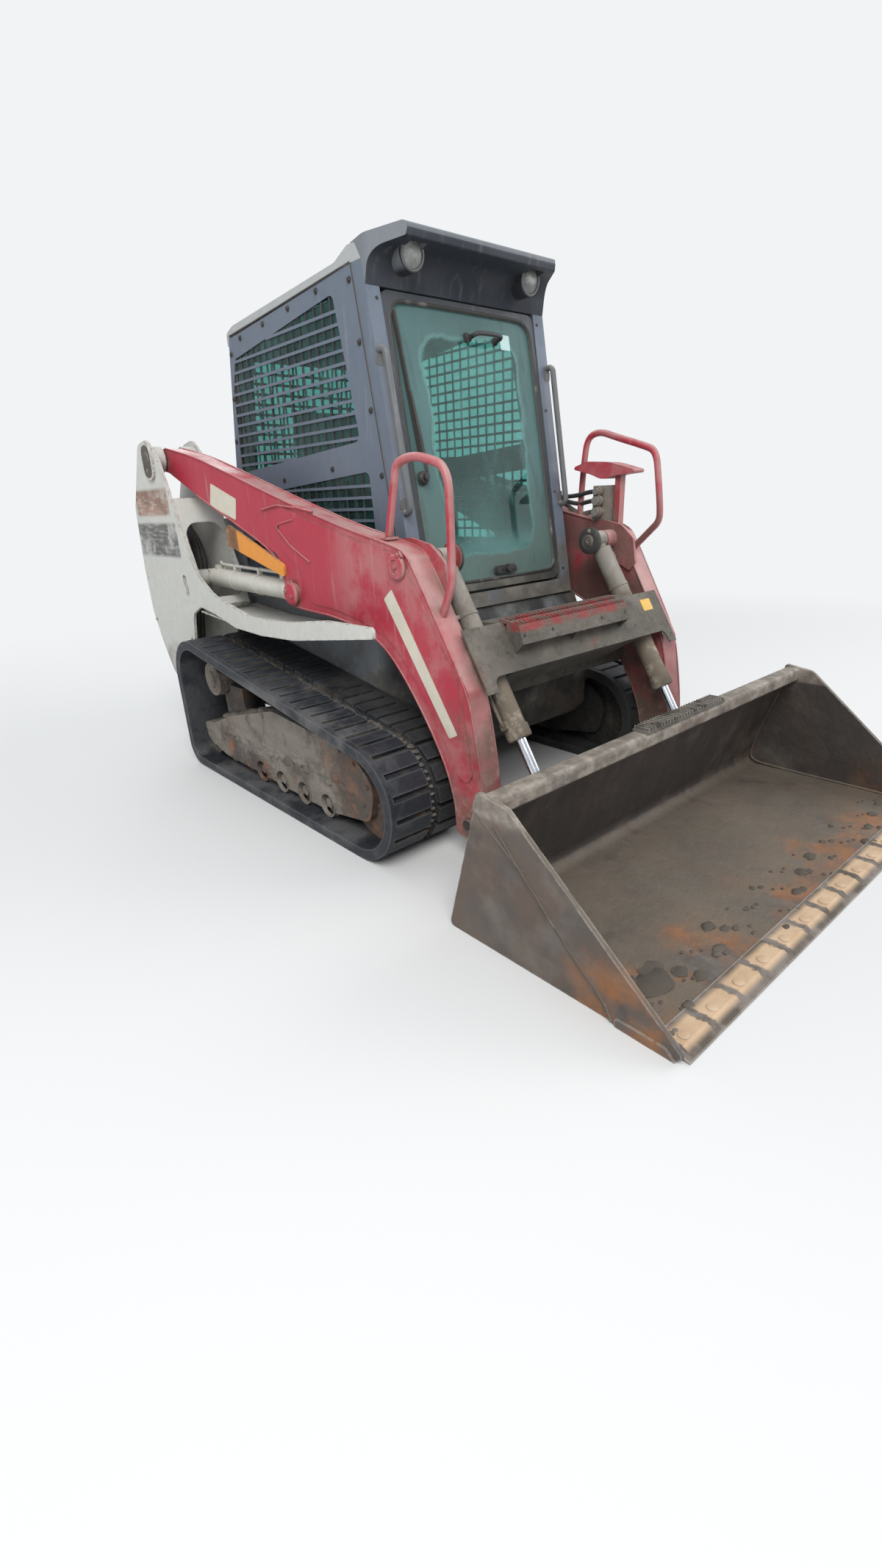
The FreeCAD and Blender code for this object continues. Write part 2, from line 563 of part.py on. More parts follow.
def make_tower(name, side):
    """Inner plate, front web with its oval opening, rear plate and fender deck of one tower."""
    rear, top = d["rear_end"], d["tower_height"]
    wall = d["plate"]
    corners = (
        (1487, top, 60), (1373, top - 89, 40), (1303, 1449, 200), (1221, 1195, 200),
        (1150, 1048, 80), (1100, 880), (1240, 760, 20), (1330, 640, 20), (1420, 500, 40),
        (rear - 90, 500, 60), (rear - 20, 800, 120), (rear - 20, 1055, 120),
        (rear - 60, 1377, 100), (1607, top - 17, 60),
    )
    near, far = span(side, d["tower_inner"] - wall, d["tower_inner"])
    plate = side_prism(name + "_plate", [outline(corners)], "Sizes.plate", near)
    web_in, web_out = d["tower_inner"], d["tower_outer"] - wall
    near, far = span(side, web_in, web_out)
    web = side_prism(name + "_web", [outline((
        (1294, d["web_top"]), (1221, 1195, 200), (1150, 1048, 120), (1068, 893), (1082, 890),
        (1164, 1044, 120), (1235, 1191, 200), (1308, d["web_top"])))], web_out - web_in, near)
    opening = body_on(name + "_opening")
    hole = outline([(side * x, z, radius) for x, z, radius in (
        (640, 930, 60), (850, 930, 60), (850, 1300, 70), (640, 1300, 70))])
    pad_on(opening, "XZ_Plane", [hole], 400, -1400)
    web_open = cut(name + "_web_open", web, opening)
    back = side_prism(name + "_back", [outline((
        (rear - 90, 500), (rear - 34, 780, 120), (rear - 34, 1055, 120), (rear - 74, 1377),
        (rear - 90, 1377), (rear - 50, 1055, 120), (rear - 50, 790, 120), (rear - 110, 500)))],
        web_out - web_in, near)
    deck = side_prism(name + "_deck", [outline((
        (20, 850), (20, 842), (300, 822, 60), (800, 824, 60), (1180, 853), (1180, 861),
        (800, 832, 60), (300, 830, 60)))], web_out - d["hull_half"], span(side, d["hull_half"], web_out)[0])
    outside = web_out - d["seat"]
    pivot_face = arm_x(d["pivot_y"]) - d["arm_half"] - d["boss_gap"]
    base_face = d["lift_x"] - d["eye_half"] - d["eye_play"]
    y, z = d["pivot_y"], d["pivot_z"]
    base_y, base_z = d["lift_base_y"], d["lift_base_z"]
    pieces = [
        plate, web_open, back, deck,
        rod_x(name + "_pivot_pin", side * (web_in - wall), side * outside, y, z, "Sizes.pivot_pin"),
        rod_x(name + "_pivot_boss", side * (web_in - wall), side * pivot_face, y, z, "Sizes.boss_radius"),
        rod_x(name + "_lift_pin", side * (web_in - wall), side * outside, base_y, base_z, "Sizes.pin_radius"),
        rod_x(name + "_lift_boss", side * (web_in - wall), side * base_face, base_y, base_z, "Sizes.eye_radius"),
        rod_x(name + "_hood_pin", side * (bay_half - 32), side * web_in, d["hood_pin_y"], d["hood_pin_z"],
              "Sizes.hood_pin"),
    ]
    if side > 0:
        pieces += hinge_knuckles(name, "frame")
    return node(name, joined(name, pieces))


for letter, side in SIDES:
    make_side_plate("side_plate_" + letter, side)
    make_tower("tower_" + letter, side)

GUSSET = (
    (-240, 1222, 10), (-330, 1232, 30), (-440, 1208, 40), (-512, 1150, 30), (-533, 1039, 20), (-500, 1000, 10),
    (-350, 1075, 20), (-260, 1130, 20),
)
ARM_CORNERS = (
    (1560, 1640, 60), (1444, 1662, 60), (1162, 1612, 60), (530, 1430, 60), (174, 1329, 60),
    (-92, 1262, 60), (-342, 1213, 80), (-430, 1170, 50), (-712, 705, 40), (-775, 362, 100),
    (-790, 120, 60), (-700, 85, 70), (-628, 110, 40), (-612, 311, 100), (-530, 480, 80),
    (-400, 670, 80), (-262, 821, 80), (-115, 880, 80), (78, 915, 100), (305, 926, 40),
    (420, 940, 40), (430, 1050, 30), (473, 1161, 30), (1166, 1432, 60), (1430, 1545, 60), (1555, 1570, 60),
)


def on_arm(piece, side):
    """Turn a piece drawn about an arm's middle plane to the arm's toed-in place."""
    turn = FreeCAD.Rotation(Vector(0, 0, 1), -side * math.degrees(toe_in))
    foot = Vector(side * d["arm_rear_x"], d["pivot_y"], 0)
    piece.Placement = FreeCAD.Placement(foot - turn.multVec(Vector(0, d["pivot_y"], 0)), turn)
    return piece


def make_arm(name, side):
    """A loader arm: beam, elbow and leg in one box section that toes in towards the front."""
    half = d["arm_half"]
    body = body_on(name + "_beam")
    pad_on(body, "YZ_Plane", [outline(ARM_CORNERS)], 2 * half, -half)
    pocket = body_on(name + "_pocket")
    inner = half - d["arm_wall"]
    hollow = outline(((475, 900), (475, 1085), (300, 1075, 30), (285, 900)))
    pad_on(pocket, "YZ_Plane", [hollow], 2 * inner, -inner)
    arm = cut(name + "_box", body, pocket)
    pieces = [arm]
    near, far = span(-side, half, half + d["plate"])
    pieces.append(side_prism(name + "_gusset", [outline(GUSSET)], "Sizes.plate", near))
    for i, way in enumerate((-1, 1)):
        pieces.append(rod_x(f"{name}_rod_boss_{i}", way * half, way * (half + 12), d["lift_rod_y"], d["lift_rod_z"], 46))
    whole = on_arm(joined(name + "_whole", pieces), side)
    pin = rod_x(name + "_tilt_pin", side * (arm_x(d["tilt_base_y"]) - d["arm_half"] + 5), side * (d["tilt_x"] - 50),
                d["tilt_base_y"], d["tilt_base_z"], "Sizes.pin_radius")
    seat_face = d["tilt_x"] + d["eye_half"] + d["eye_play"]
    spacer = rod_x(name + "_tilt_boss", side * (arm_x(d["tilt_base_y"]) - d["arm_half"] + 5), side * seat_face,
                   d["tilt_base_y"], d["tilt_base_z"], "Sizes.eye_radius")
    collar = rod_x(name + "_tilt_collar", side * (d["tilt_x"] - d["eye_half"] - d["eye_play"]), side * (d["tilt_x"] - 50),
                   d["tilt_base_y"], d["tilt_base_z"], "Sizes.pin_radius + 12")
    cap = rod_x(name + "_tilt_cap", side * (d["tilt_x"] - 49), side * (d["tilt_x"] - 62),
                d["tilt_base_y"], d["tilt_base_z"], "Sizes.tilt_cap")
    bores = []
    for label, y, z, radius in (
            ("pivot", d["pivot_y"], d["pivot_z"], d["pivot_pin"] + d["pin_play"]),
            ("hitch", d["hitch_y"], d["hitch_z"], d["hitch_pin"] + d["pin_play"])):
        bores.append(rod_x(f"{name}_{label}_bore", side * 500, side * 900, y, z, radius))
    bored = cut(name + "_bored", whole, joined(name + "_bores", bores))
    return node(name, joined(name, [bored, pin, spacer, collar, cap]))


# Middle line of each hoop in (y, z), from the arm's top over to the front of its leg.
HOOPS = {
    "r": ((-262, 1200), (-338, 1490), (-430, 1508), (-560, 1478), (-604, 1400), (-604, 1085), (-545, 960)),
    "l": ((-125, 1230), (-142, 1500), (-185, 1608), (-300, 1598), (-492, 1543), (-568, 1430), (-604, 1270),
          (-590, 1215), (-440, 1075)),
}


def make_handrail(name, side):
    """Hoop handrail over the elbow of an arm, from its top to the front of its leg."""
    x = side * (d["arm_front_x"] + 2)
    line = [(x, y, z) for y, z in HOOPS[name[-1]]]
    pieces = [bent_bar(name + "_hoop", line, d["hoop_radius"], 38)]
    if side > 0:
        pieces.append(side_prism(name + "_cover", [outline((
            (-132, 1462), (-132, 1474), (-205, 1496, 20), (-345, 1484, 30), (-476, 1448, 10), (-474, 1434, 10),
            (-384, 1428, 30), (-300, 1410, 30), (-236, 1436, 20)))], 92, x - 46))
        pieces.append(side_prism(name + "_cover_post", [outline((
            (-390, 1150), (-360, 1150), (-360, 1440), (-390, 1440)))], 40, x - 20))
    return node(name, cut(name, joined(name + "_whole", pieces) if side > 0 else pieces[0], NODES["arm_" + name[-1]]))


def make_coupler_block():
    """Block of quick couplers for the front hydraulics, on the left arm behind the cover's post."""
    x = d["arm_front_x"]
    block = box("coupler_body", (x - 46, -345, 1150), (x + 46, -255, 1385))
    pieces = [block]
    for i, (z, radius) in enumerate(((1360, 15), (1318, 20), (1268, 20))):
        pieces.append(rod_x(f"coupler_{i}", x - 92, x, -300, z, radius))
        pieces.append(rod_x(f"coupler_ring_{i}", x - 78, x - 62, -300, z, radius + 6))
    return node("coupler_block", cut("coupler_block", joined("coupler_whole", pieces), NODES["arm_l"]))


def make_boom_lock():
    """Brace that is stored on the outer face of the right arm."""
    side = -1
    half = d["arm_half"]
    brace = side_prism("boom_lock", [outline((
        (883, 1296, 20), (892, 1192, 20), (412, 1062, 12), (410, 1118, 20)))], "Sizes.lock_thick", -half - d["lock_thick"])
    return node("boom_lock", on_arm(brace, side))


for letter, side in SIDES:
    make_arm("arm_" + letter, side)
    make_handrail("handrail_" + letter, side)
make_boom_lock()
make_coupler_block()


def make_cross_member():
    """Box between the arms' legs: front plate, step, torque box and the beam under it."""
    reach = arm_x(-500) - d["arm_half"] / 2
    arch = arm_x(-700) - d["arm_half"]
    front = body_on("cross_front")
    pad_on(front, "XZ_Plane", [outline((
        (-reach, 202), (reach, 202), (reach, -60), (arch - 20, -60, 10), (arch - 26, 0, 60), (26 - arch, 0, 60),
        (20 - arch, -60, 10), (-reach, -60)))], "Sizes.sheet", -d["sheet"])
    lean = math.degrees(math.atan2(109, 173))
    front.Placement = FreeCAD.Placement(Vector(0, -726, 742), FreeCAD.Rotation(Vector(1, 0, 0), -lean))
    beam = side_prism("cross_beam", [outline((
        (-480, 560, 15), (-400, 560, 15), (-400, 645, 15), (-480, 645, 15)))], 2 * reach, -reach)
    inner = d["tilt_x"] - d["tilt_bore"] - 20
    torque = side_prism("cross_box", [outline((
        (-716, 742), (-612, 911), (-500, 905), (-430, 640), (-475, 600)))], 2 * inner, -inner)
    step = side_prism("cross_step", [outline((
        (-605, 925), (-706, 908, 6), (-730, 838), (-722, 834), (-702, 898), (-605, 912)))], 690, -420)
    brackets = [side_prism(f"cross_bracket_{i}", [outline((
        (-640, 912), (-704, 902), (-726, 836), (-690, 800), (-640, 870)))], 10, start)
        for i, start in enumerate((-420, -80, 260))]
    whole = joined("cross_whole", [front, beam, torque, step] + brackets)
    arms = joined("cross_ends", [NODES["arm_r"], NODES["arm_l"]])
    return node("cross_member", cut("cross_member", whole, arms))


make_cross_member()


def cylinder_part(name, pieces, side, x, y, z, angle):
    """Place a cylinder piece, drawn along +Y from its base pin, on its pin and line."""
    whole = joined(name, pieces)
    whole.Placement = FreeCAD.Placement(Vector(side * x, y, z), FreeCAD.Rotation(Vector(1, 0, 0), angle))
    return node(name, whole)


def eye(name, y, half, radius):
    ring_body = body_on(name)
    loops = [ring(y, 0, radius), ring(y, 0, d["pin_radius"] + d["pin_play"])]
    pad_on(ring_body, "YZ_Plane", loops, 2 * half, -half)
    return ring_body


def rod_y(name, y_start, y_end, radius):
    bar = doc.addObject("Part::Cylinder", name)
    bar.Radius = radius
    bar.Height = y_end - y_start
    bar.Placement = FreeCAD.Placement(Vector(0, y_start, 0), FreeCAD.Rotation(Vector(1, 0, 0), -90))
    return bar


def tube_y(name, y_start, y_end, radius, bore):
    outer = rod_y(name + "_outer", y_start, y_end, radius)
    inner = rod_y(name + "_bore", y_start + 20, y_end + 10, bore)
    return cut(name, outer, inner)


for letter, side in SIDES:
    half, radius = d["eye_half"], d["eye_radius"]
    for kind, reach, end, bore, shaft in (
            ("lift", lift_reach, lift_reach - d["lift_dead"], d["lift_bore"], d["lift_shaft"]),
            ("tilt", tilt_reach, d["tilt_barrel"], d["tilt_bore"], d["tilt_shaft"])):
        x, y, z = d[kind + "_x"], d[kind + "_base_y"], d[kind + "_base_z"]
        angle = lift_angle if kind == "lift" else tilt_angle
        barrel = tube_y(f"{kind}_tube_{letter}", radius + d["eye_neck"], end, bore, shaft + d["seat"])
        neck = rod_y(f"{kind}_neck_{letter}", radius - 8, radius + d["eye_neck"] + 2, half - 1)
        cylinder_part(f"{kind}_barrel_{letter}", [eye(f"{kind}_base_eye_{letter}", 0, half, radius), neck, barrel],
                      side, x, y, z, angle)
        start = 84 if kind == "lift" else 330
        stem = rod_y(f"{kind}_stem_{letter}", start, reach - radius + 6, shaft)
        cylinder_part(f"{kind}_rod_{letter}", [eye(f"{kind}_rod_eye_{letter}", reach, half, radius), stem],
                      side, x, y, z, angle)


def back_y(z):
    """The bucket's back plane: y at height z."""
    return d["bucket_heel"] + (d["bucket_back"] - d["bucket_heel"]) * z / d["bucket_height"]


def make_bucket():
    """Bucket shell, side plates and the tube along its top edge."""
    half, shell = d["bucket_half"] - d["bucket_strip"] - d["bucket_shoe"], d["bucket_shell"]
    tip = d["bucket_tip"]
    top = d["bucket_height"]
    shell_half = half - d["bucket_side"]
    wrap = side_prism("bucket_wrap", [outline((
        (back_y(0), 0, 60), (tip + d["edge_depth"] - 60, 0), (tip + d["edge_depth"] - 60, shell),
        (back_y(0) - shell, shell, 50), (back_y(top) - shell, top - 60), (back_y(top - 60), top - 60)))],
        2 * shell_half, -shell_half)
    tube = side_prism("bucket_tube", [outline((
        (back_y(top) + 8, top - 70, 12), (back_y(top) + 4, top - 12, 20), (back_y(top) - 70, top - 12, 20),
        (back_y(top) - 70, top - 70, 12)))], 2 * shell_half, -shell_half)
    pad = side_prism("bucket_step", [outline((
        (back_y(top) + 2, top - 13), (back_y(top) + 2, top - 4, 4), (back_y(top) - 68, top - 4, 4),
        (back_y(top) - 68, top - 13)))], 560, -240)
    pieces = [wrap, tube, pad]
    for letter, side in SIDES:
        low = span(side, half + d["bucket_strip"], d["bucket_half"])[0]
        pieces.append(side_prism("bucket_shoe_" + letter, [outline((
            (-1652, 0, 12), (-1652, 30, 14), (tip + 60, 30, 20), (tip + 30, 0)))], "Sizes.bucket_shoe", low))
        low = span(side, half, half + d["bucket_strip"])[0]
        pieces.append(side_prism("bucket_strip_" + letter, [outline((
            (back_y(top), top, 10), (back_y(top) - 125, top - 18, 60), (tip + 12, 24, 10), (tip + 30, 0, 10),
            (-1640, 0), (-1612, 62, 60), (-1531, 117, 30), (-1291, 350, 200), (back_y(top - 60), top - 60)))],
            "Sizes.bucket_strip", low))
        low = span(side, shell_half, half)[0]
        pieces.append(side_prism("bucket_side_" + letter, [outline((
            (back_y(0), 0, 20), (back_y(top), top, 10), (back_y(top) - 125, top - 18, 60),
            (tip + 12, 24, 10), (tip + 30, 0, 10)))], "Sizes.bucket_side", low))
    return node("bucket", joined("bucket", pieces))


def make_cutting_edge():
    """Bolt-on edge, bevelled along its front."""
    tip, thick = d["bucket_tip"], d["edge_thick"]
    half = d["bucket_half"] - d["bucket_strip"] - d["bucket_shoe"] - d["bucket_side"]
    rear = tip + d["edge_depth"] - 60
    return node("cutting_edge", side_prism("cutting_edge", [outline((
        (rear, 0), (rear, thick), (tip + 40, thick), (tip, 4), (tip, 0)))], 2 * half, -half))


make_bucket()
make_cutting_edge()


def make_hitch():
    """Bucket coupler: frame plate behind the bucket, ears on the arms' pins and the tilt rods' forks."""
    half, thick = d["coupler_half"], d["coupler_thick"]
    low, high = 45, d["coupler_top"]
    plate = side_prism("hitch_plate", [outline((
        (back_y(low), low), (back_y(high), high), (back_y(high) + thick, high, 10), (back_y(low) + thick, low, 10)))],
        2 * half, -half)
    windows = []
    reach = d["eye_half"] + d["eye_play"]
    for letter, side in SIDES:
        near, far = span(side, d["tilt_x"] - reach, d["tilt_x"] + reach)
        windows.append(box("hitch_window_" + letter, (near, -1200, 215), (far, -800, 420)))
    plate = cut("hitch_plate_open", plate, joined("hitch_windows", windows))
    pieces = [plate]
    for letter, side in SIDES:
        inner = arm_x(d["hitch_y"]) - d["arm_half"]
        near, far = span(side, inner - d["eye_play"] - 26, inner - d["eye_play"])
        pieces.append(side_prism("hitch_ear_" + letter, [outline((
            (back_y(60) + 5, 60), (back_y(300) + 5, 300), (d["hitch_y"] - 60, d["hitch_z"] + 55, 30),
            (d["hitch_y"] + 48, d["hitch_z"] + 48, 48), (d["hitch_y"] + 48, d["hitch_z"] - 48, 48)))], 26, near))
        end = arm_x(d["hitch_y"]) + d["arm_half"] + 14
        pieces.append(rod_x("hitch_pin_" + letter, side * (inner - 30), side * end, d["hitch_y"], d["hitch_z"],
                            "Sizes.hitch_pin"))
        for i, way in enumerate((-1, 1)):
            face = d["tilt_x"] + way * (d["eye_half"] + d["eye_play"])
            near, far = span(side, face, face + way * 20)
            rod_y_, rod_z_ = d["tilt_rod_y"], d["tilt_rod_z"]
            pieces.append(side_prism(f"hitch_fork_{letter}{i}", [outline((
                (back_y(200) + 5, 200), (back_y(395) + 5, 395), (rod_y_ + 20, rod_z_ + 46, 40),
                (rod_y_ + 46, rod_z_ - 20, 40), (rod_y_ + 10, rod_z_ - 70, 30)))], 20, near))
    return node("hitch_frame", joined("hitch_frame", pieces))


make_hitch()


def front_y(z):
    """Outer face of the cab's leaning front at height z."""
    return -215 + (z - 925) * 0.177


def rear_y(z):
    """Outer face of the cab's leaning back at height z."""
    return 1285 - max(0, z - 1400) * 0.2


def lattice(name, rows, columns, low, length):
    """Flat bars of a window guard in two layers: rows (y, y, z) level and columns (y, z, z) upright."""
    half, layer = d["mesh_bar"] / 2, length / 2
    bars = []
    for i, (start, end, z) in enumerate(rows):
        bars.append(side_prism(f"{name}_row_{i}", [outline((
            (start, z - half), (end, z - half), (end, z + half), (start, z + half)))], layer, low))
    for i, (y, bottom, top) in enumerate(columns):
        bars.append(side_prism(f"{name}_column_{i}", [outline((
            (y - half, bottom), (y + half, bottom), (y + half, top), (y - half, top)))], layer, low + layer))
    return bars


def crossings(corners, axis, value):
    """Where a straight line across a window's corners (y, z) enters and leaves it."""
    found = []
    for start, end in zip(corners, corners[1:] + corners[:1]):
        before, after = start[axis] - value, end[axis] - value
        if before * after < 0:
            found.append(start[1 - axis] + (end[1 - axis] - start[1 - axis]) * before / (before - after))
    return sorted(found)


def make_cab():
    """Posts, rails, roof, side panels and back of the cab; it is open inside."""
    half, post, base = d["cab_half"], d["cab_post"], d["hull_top"]
    roof = d["roof_rear_z"] - 20
    inner = half - d["cab_wall"]
    lap = d["gap"] + 14
    pieces = []
    for letter, side in SIDES:
        near, far = span(side, inner - post, half)
        pieces.append(side_prism("cab_front_post_" + letter, [outline((
            (front_y(base), base), (front_y(roof + 60), roof + 60), (front_y(roof + 60) + post, roof + 60),
            (front_y(base) + post, base)))], far - near, near))
        near, far = span(side, inner - post, inner)
        pieces.append(side_prism("cab_post_lap_" + letter, [outline((
            (front_y(base) + post - 4, base), (front_y(roof + 56) + post - 4, roof + 56),
            (front_y(roof + 56) + post + lap, roof + 56), (front_y(base) + post + lap, base)))], "Sizes.cab_post", near))
        pieces.append(side_prism("cab_rear_post_" + letter, [outline((
            (rear_y(base), base), (rear_y(base) - post, base), (rear_y(1400) - post, 1400), (rear_y(roof) - post, roof),
            (rear_y(roof), roof), (rear_y(1400), 1400)))], "Sizes.cab_post", near))
        pieces.append(side_prism("cab_sill_" + letter, [outline((
            (front_y(base), base), (rear_y(base), base), (rear_y(base), base + post), (front_y(base + post), base + post)))],
            "Sizes.cab_post", near))
        pieces.append(side_prism("cab_rail_" + letter, [outline((
            (front_y(2150), 2150), (front_y(2200), 2200), (75, 2200), (rear_y(2140), 2140), (rear_y(2090), 2090)))],
            "Sizes.cab_post", near))
    reach = inner - post
    pieces.append(side_prism("cab_front_sill", [outline((
        (front_y(base), base), (front_y(base) + post, base), (front_y(base + post) + post, base + post),
        (front_y(base + post), base + post)))], 2 * reach, -reach))
    pieces.append(side_prism("cab_header", [outline((
        (front_y(2120), 2120), (front_y(2200), 2200), (front_y(2200) + post, 2200), (front_y(2120) + post, 2120)))],
        2 * reach, -reach))
    node("cab_frame", joined("cab_frame", pieces))
    roof_panel = side_prism("roof_panel", [outline((
        (front_y(2200), 2200), (45, 2258, 20), (95, 2258, 25), (186, 2224, 60), (1085, 2172, 30), (1158, 2150, 25),
        (1158, 2097), (rear_y(2097), 2097), (rear_y(2140), 2140), (75, 2200)))],
        2 * half, -half)
    node("cab_roof", roof_panel)
    for letter, side in SIDES:
        near, far = span(side, inner, half)
        top_front = d["roof_front_z"] - 24
        gap = post + d["gap"]
        sides = outline((
            (front_y(base) + gap, base), (front_y(top_front) + gap, top_front), (rear_y(2125), 2125, 30),
            (rear_y(1400), 1400, 60), (rear_y(base), base)))
        upper = [(218, 2130), (105, 1597), (1195, 1528), (1160, 1900), (1105, 2035)]
        lower = [(60, 1480), (40, 1150), (1190, 1150), (1190, 1410)]
        windows, bars = [], []
        for label, corners in (("upper", upper), ("lower", lower)):
            windows.append(outline([(y, z, 30) for y, z in corners]))
            bottom, top = min(z for y, z in corners), max(z for y, z in corners)
            left, right = min(y for y, z in corners), max(y for y, z in corners)
            rows = [z for z in range(1150, 2200, int(d["mesh_row"])) if bottom + 20 < z < top - 20]
            columns = [y for y in range(60, 1250, int(d["mesh_column"])) if left + 20 < y < right - 20]
            bars += lattice(f"guard_{label}_{letter}", [
                (crossings(corners, 1, z)[0] - 4, crossings(corners, 1, z)[-1] + 4, z) for z in rows], [
                (y, crossings(corners, 0, y)[0] - 4, crossings(corners, 0, y)[-1] + 4) for y in columns],
                near, d["cab_wall"])
        panel = side_prism("cab_panel_" + letter, [sides] + windows, "Sizes.cab_wall", near)
        node("cab_side_" + letter, joined("cab_side_" + letter, [panel] + bars))
    back = side_prism("cab_back", [outline((
        (rear_y(1310), 1310), (rear_y(1400), 1400), (rear_y(2120), 2120), (rear_y(2120) - 6, 2120), (rear_y(1400) - 6, 1400),
        (rear_y(1310) - 6, 1310)))], 2 * reach, -reach)
    window = box("cab_back_window", (-380, 1000, 1480), (380, 1400, 2040))
    bars = []
    for i, z in enumerate(range(1526, 2020, int(d["mesh_row"]))):
        bars.append(side_prism(f"guard_back_row_{i}", [outline((
            (rear_y(z), z), (rear_y(z + 12), z + 12), (rear_y(z + 12) - 3, z + 12), (rear_y(z) - 3, z)))], 768, -384))
    for i, x in enumerate(range(-341, 380, int(d["mesh_column"]))):
        bars.append(side_prism(f"guard_back_column_{i}", [outline((
            (rear_y(1476) - 3, 1476), (rear_y(2044) - 3, 2044), (rear_y(2044) - 6, 2044), (rear_y(1476) - 6, 1476)))],
            "Sizes.mesh_bar", x))
    node("cab_back", joined("cab_back", [cut("cab_back_open", back, window)] + bars))


make_cab()


def make_visor():
    """Visor over the front door: its scooped underside and cheeks close in to a narrower lip."""
    wide, lip = d["cab_half"], d["visor_half"]
    front, top, low = d["visor_y"], d["visor_z"], d["visor_low"]
    rear = front_y(2200) + 30
    hood = side_prism("visor_hood", [outline((
        (rear + 30, d["visor_back_z"] - 2), (front + 8, top, 12), (front, top - 24, 14), (front + 6, top - 46, 8),
        (-26, 2222, 90), (front_y(low) - 1, low), (rear, low)))], 2 * wide, -wide)
    plan = body_on("visor_plan")
    pad_on(plan, "XY_Plane", [outline((
        (-lip, front - 1), (lip, front - 1), (wide, rear - 52, 60), (wide, rear + 40), (-wide, rear + 40),
        (-wide, rear - 52, 60)))], 300, low - 10)
    taper = doc.addObject("Part::Common", "visor_taper")
    taper.Base = hood
    taper.Tool = plan
    beds, pods = [], []
    above = box("pod_limit", (-wide, -100, d["visor_back_z"] - 2), (wide, 100, top))
    for letter, side in SIDES:
        pod = body_on("lamp_pod_" + letter)
        pad_on(pod, "XZ_Plane", [ring(side * d["lamp_x"], d["lamp_z"], d["pod_radius"])], -d["lamp_y"] + 8, -12)
        pods.append(cut("lamp_pod_cut_" + letter, pod, above))
        bed = body_on("lamp_bed_" + letter)
        pad_on(bed, "XZ_Plane", [ring(side * d["lamp_x"], d["lamp_z"], d["lamp_radius"] + d["seat"])], 100,
               -d["lamp_y"] - 50)
        beds.append(bed)
    others = joined("visor_others", [NODES["cab_roof"], NODES["cab_frame"], NODES["cab_side_r"], NODES["cab_side_l"]])
    return node("visor", cut("visor", cut("visor_open", joined("visor_pods", [taper] + pods), joined("lamp_beds", beds)), others))


def make_work_lamps():
    """Two round lamps set in the visor's scoop."""
    lamps = []
    for letter, side in SIDES:
        can = body_on("lamp_can_" + letter)
        pad_on(can, "XZ_Plane", [ring(side * d["lamp_x"], d["lamp_z"], d["lamp_radius"])], 50, -d["lamp_y"] - 50)
        lamps.append(can)
    return node("work_lamps", joined("work_lamps", lamps))


def make_grab_bars():
    """Grab bars on the cab's front posts, beside the door."""
    bars = []
    for letter, side in SIDES:
        x = side * d["bar_x"]
        bars.append(bent_bar("grab_bar_" + letter, (
            (x, front_y(1899), 1899), (x, front_y(1899) - 40, 1905), (x, front_y(1315) - 40, 1309),
            (x, front_y(1315), 1315)), d["bar_radius"], 24))
    posts = joined("grab_bar_posts", [NODES["cab_frame"], NODES["cab_side_r"], NODES["cab_side_l"]])
    return node("grab_bars", cut("grab_bars", joined("grab_bar_pair", bars), posts))


make_visor()
make_work_lamps()
make_grab_bars()


def make_glass():
    """Panes behind the side panels, in the back and in the front door."""
    inner = d["cab_half"] - d["cab_wall"]
    panes = []
    for letter, side in SIDES:
        near, far = span(side, inner - d["glass"], inner)
        panes.append(side_prism("pane_" + letter, [outline((
            (0, 1120), (180, 2120), (1080, 2085), (1180, 1500), (1190, 1120)))], "Sizes.glass", near))
    node("side_glass", joined("side_glass", panes))
    node("rear_glass", side_prism("rear_glass", [outline((
        (rear_y(1460) - 6, 1460), (rear_y(2060) - 6, 2060), (rear_y(2060) - 12, 2060), (rear_y(1460) - 12, 1460)))],
        800, -400))


make_glass()


def make_front_door():
    """Overhead front door: a frame of tube round one large pane."""
    outer_half = d["cab_half"] - d["cab_wall"] - d["cab_post"] - d["seat"]
    low, high = d["hull_top"] + d["cab_post"] + 12, 2112
    lean = math.degrees(math.atan(0.177))
    height = (high - low) / math.cos(math.radians(lean))
    frame = body_on("front_door")
    outer = outline(((-outer_half, 0, 60), (outer_half, 0, 60), (outer_half, height, 40), (-outer_half, height, 40)))
    border = d["door_border"]
    hole = outline(((-outer_half + border, border + 12, 70), (outer_half - border, border + 12, 70),
                    (outer_half - border, height - border, 90), (-outer_half + border, height - border, 90)))
    pad_on(frame, "XZ_Plane", [outer, hole], 36, -36)
    frame.Placement = FreeCAD.Placement(Vector(0, front_y(low) + 4, low), FreeCAD.Rotation(Vector(1, 0, 0), -lean))
    node("front_door", frame)
    pane = body_on("door_glass")
    pad_on(pane, "XZ_Plane", [hole], d["glass"], -16)
    pane.Placement = frame.Placement
    node("door_glass", pane)


make_front_door()


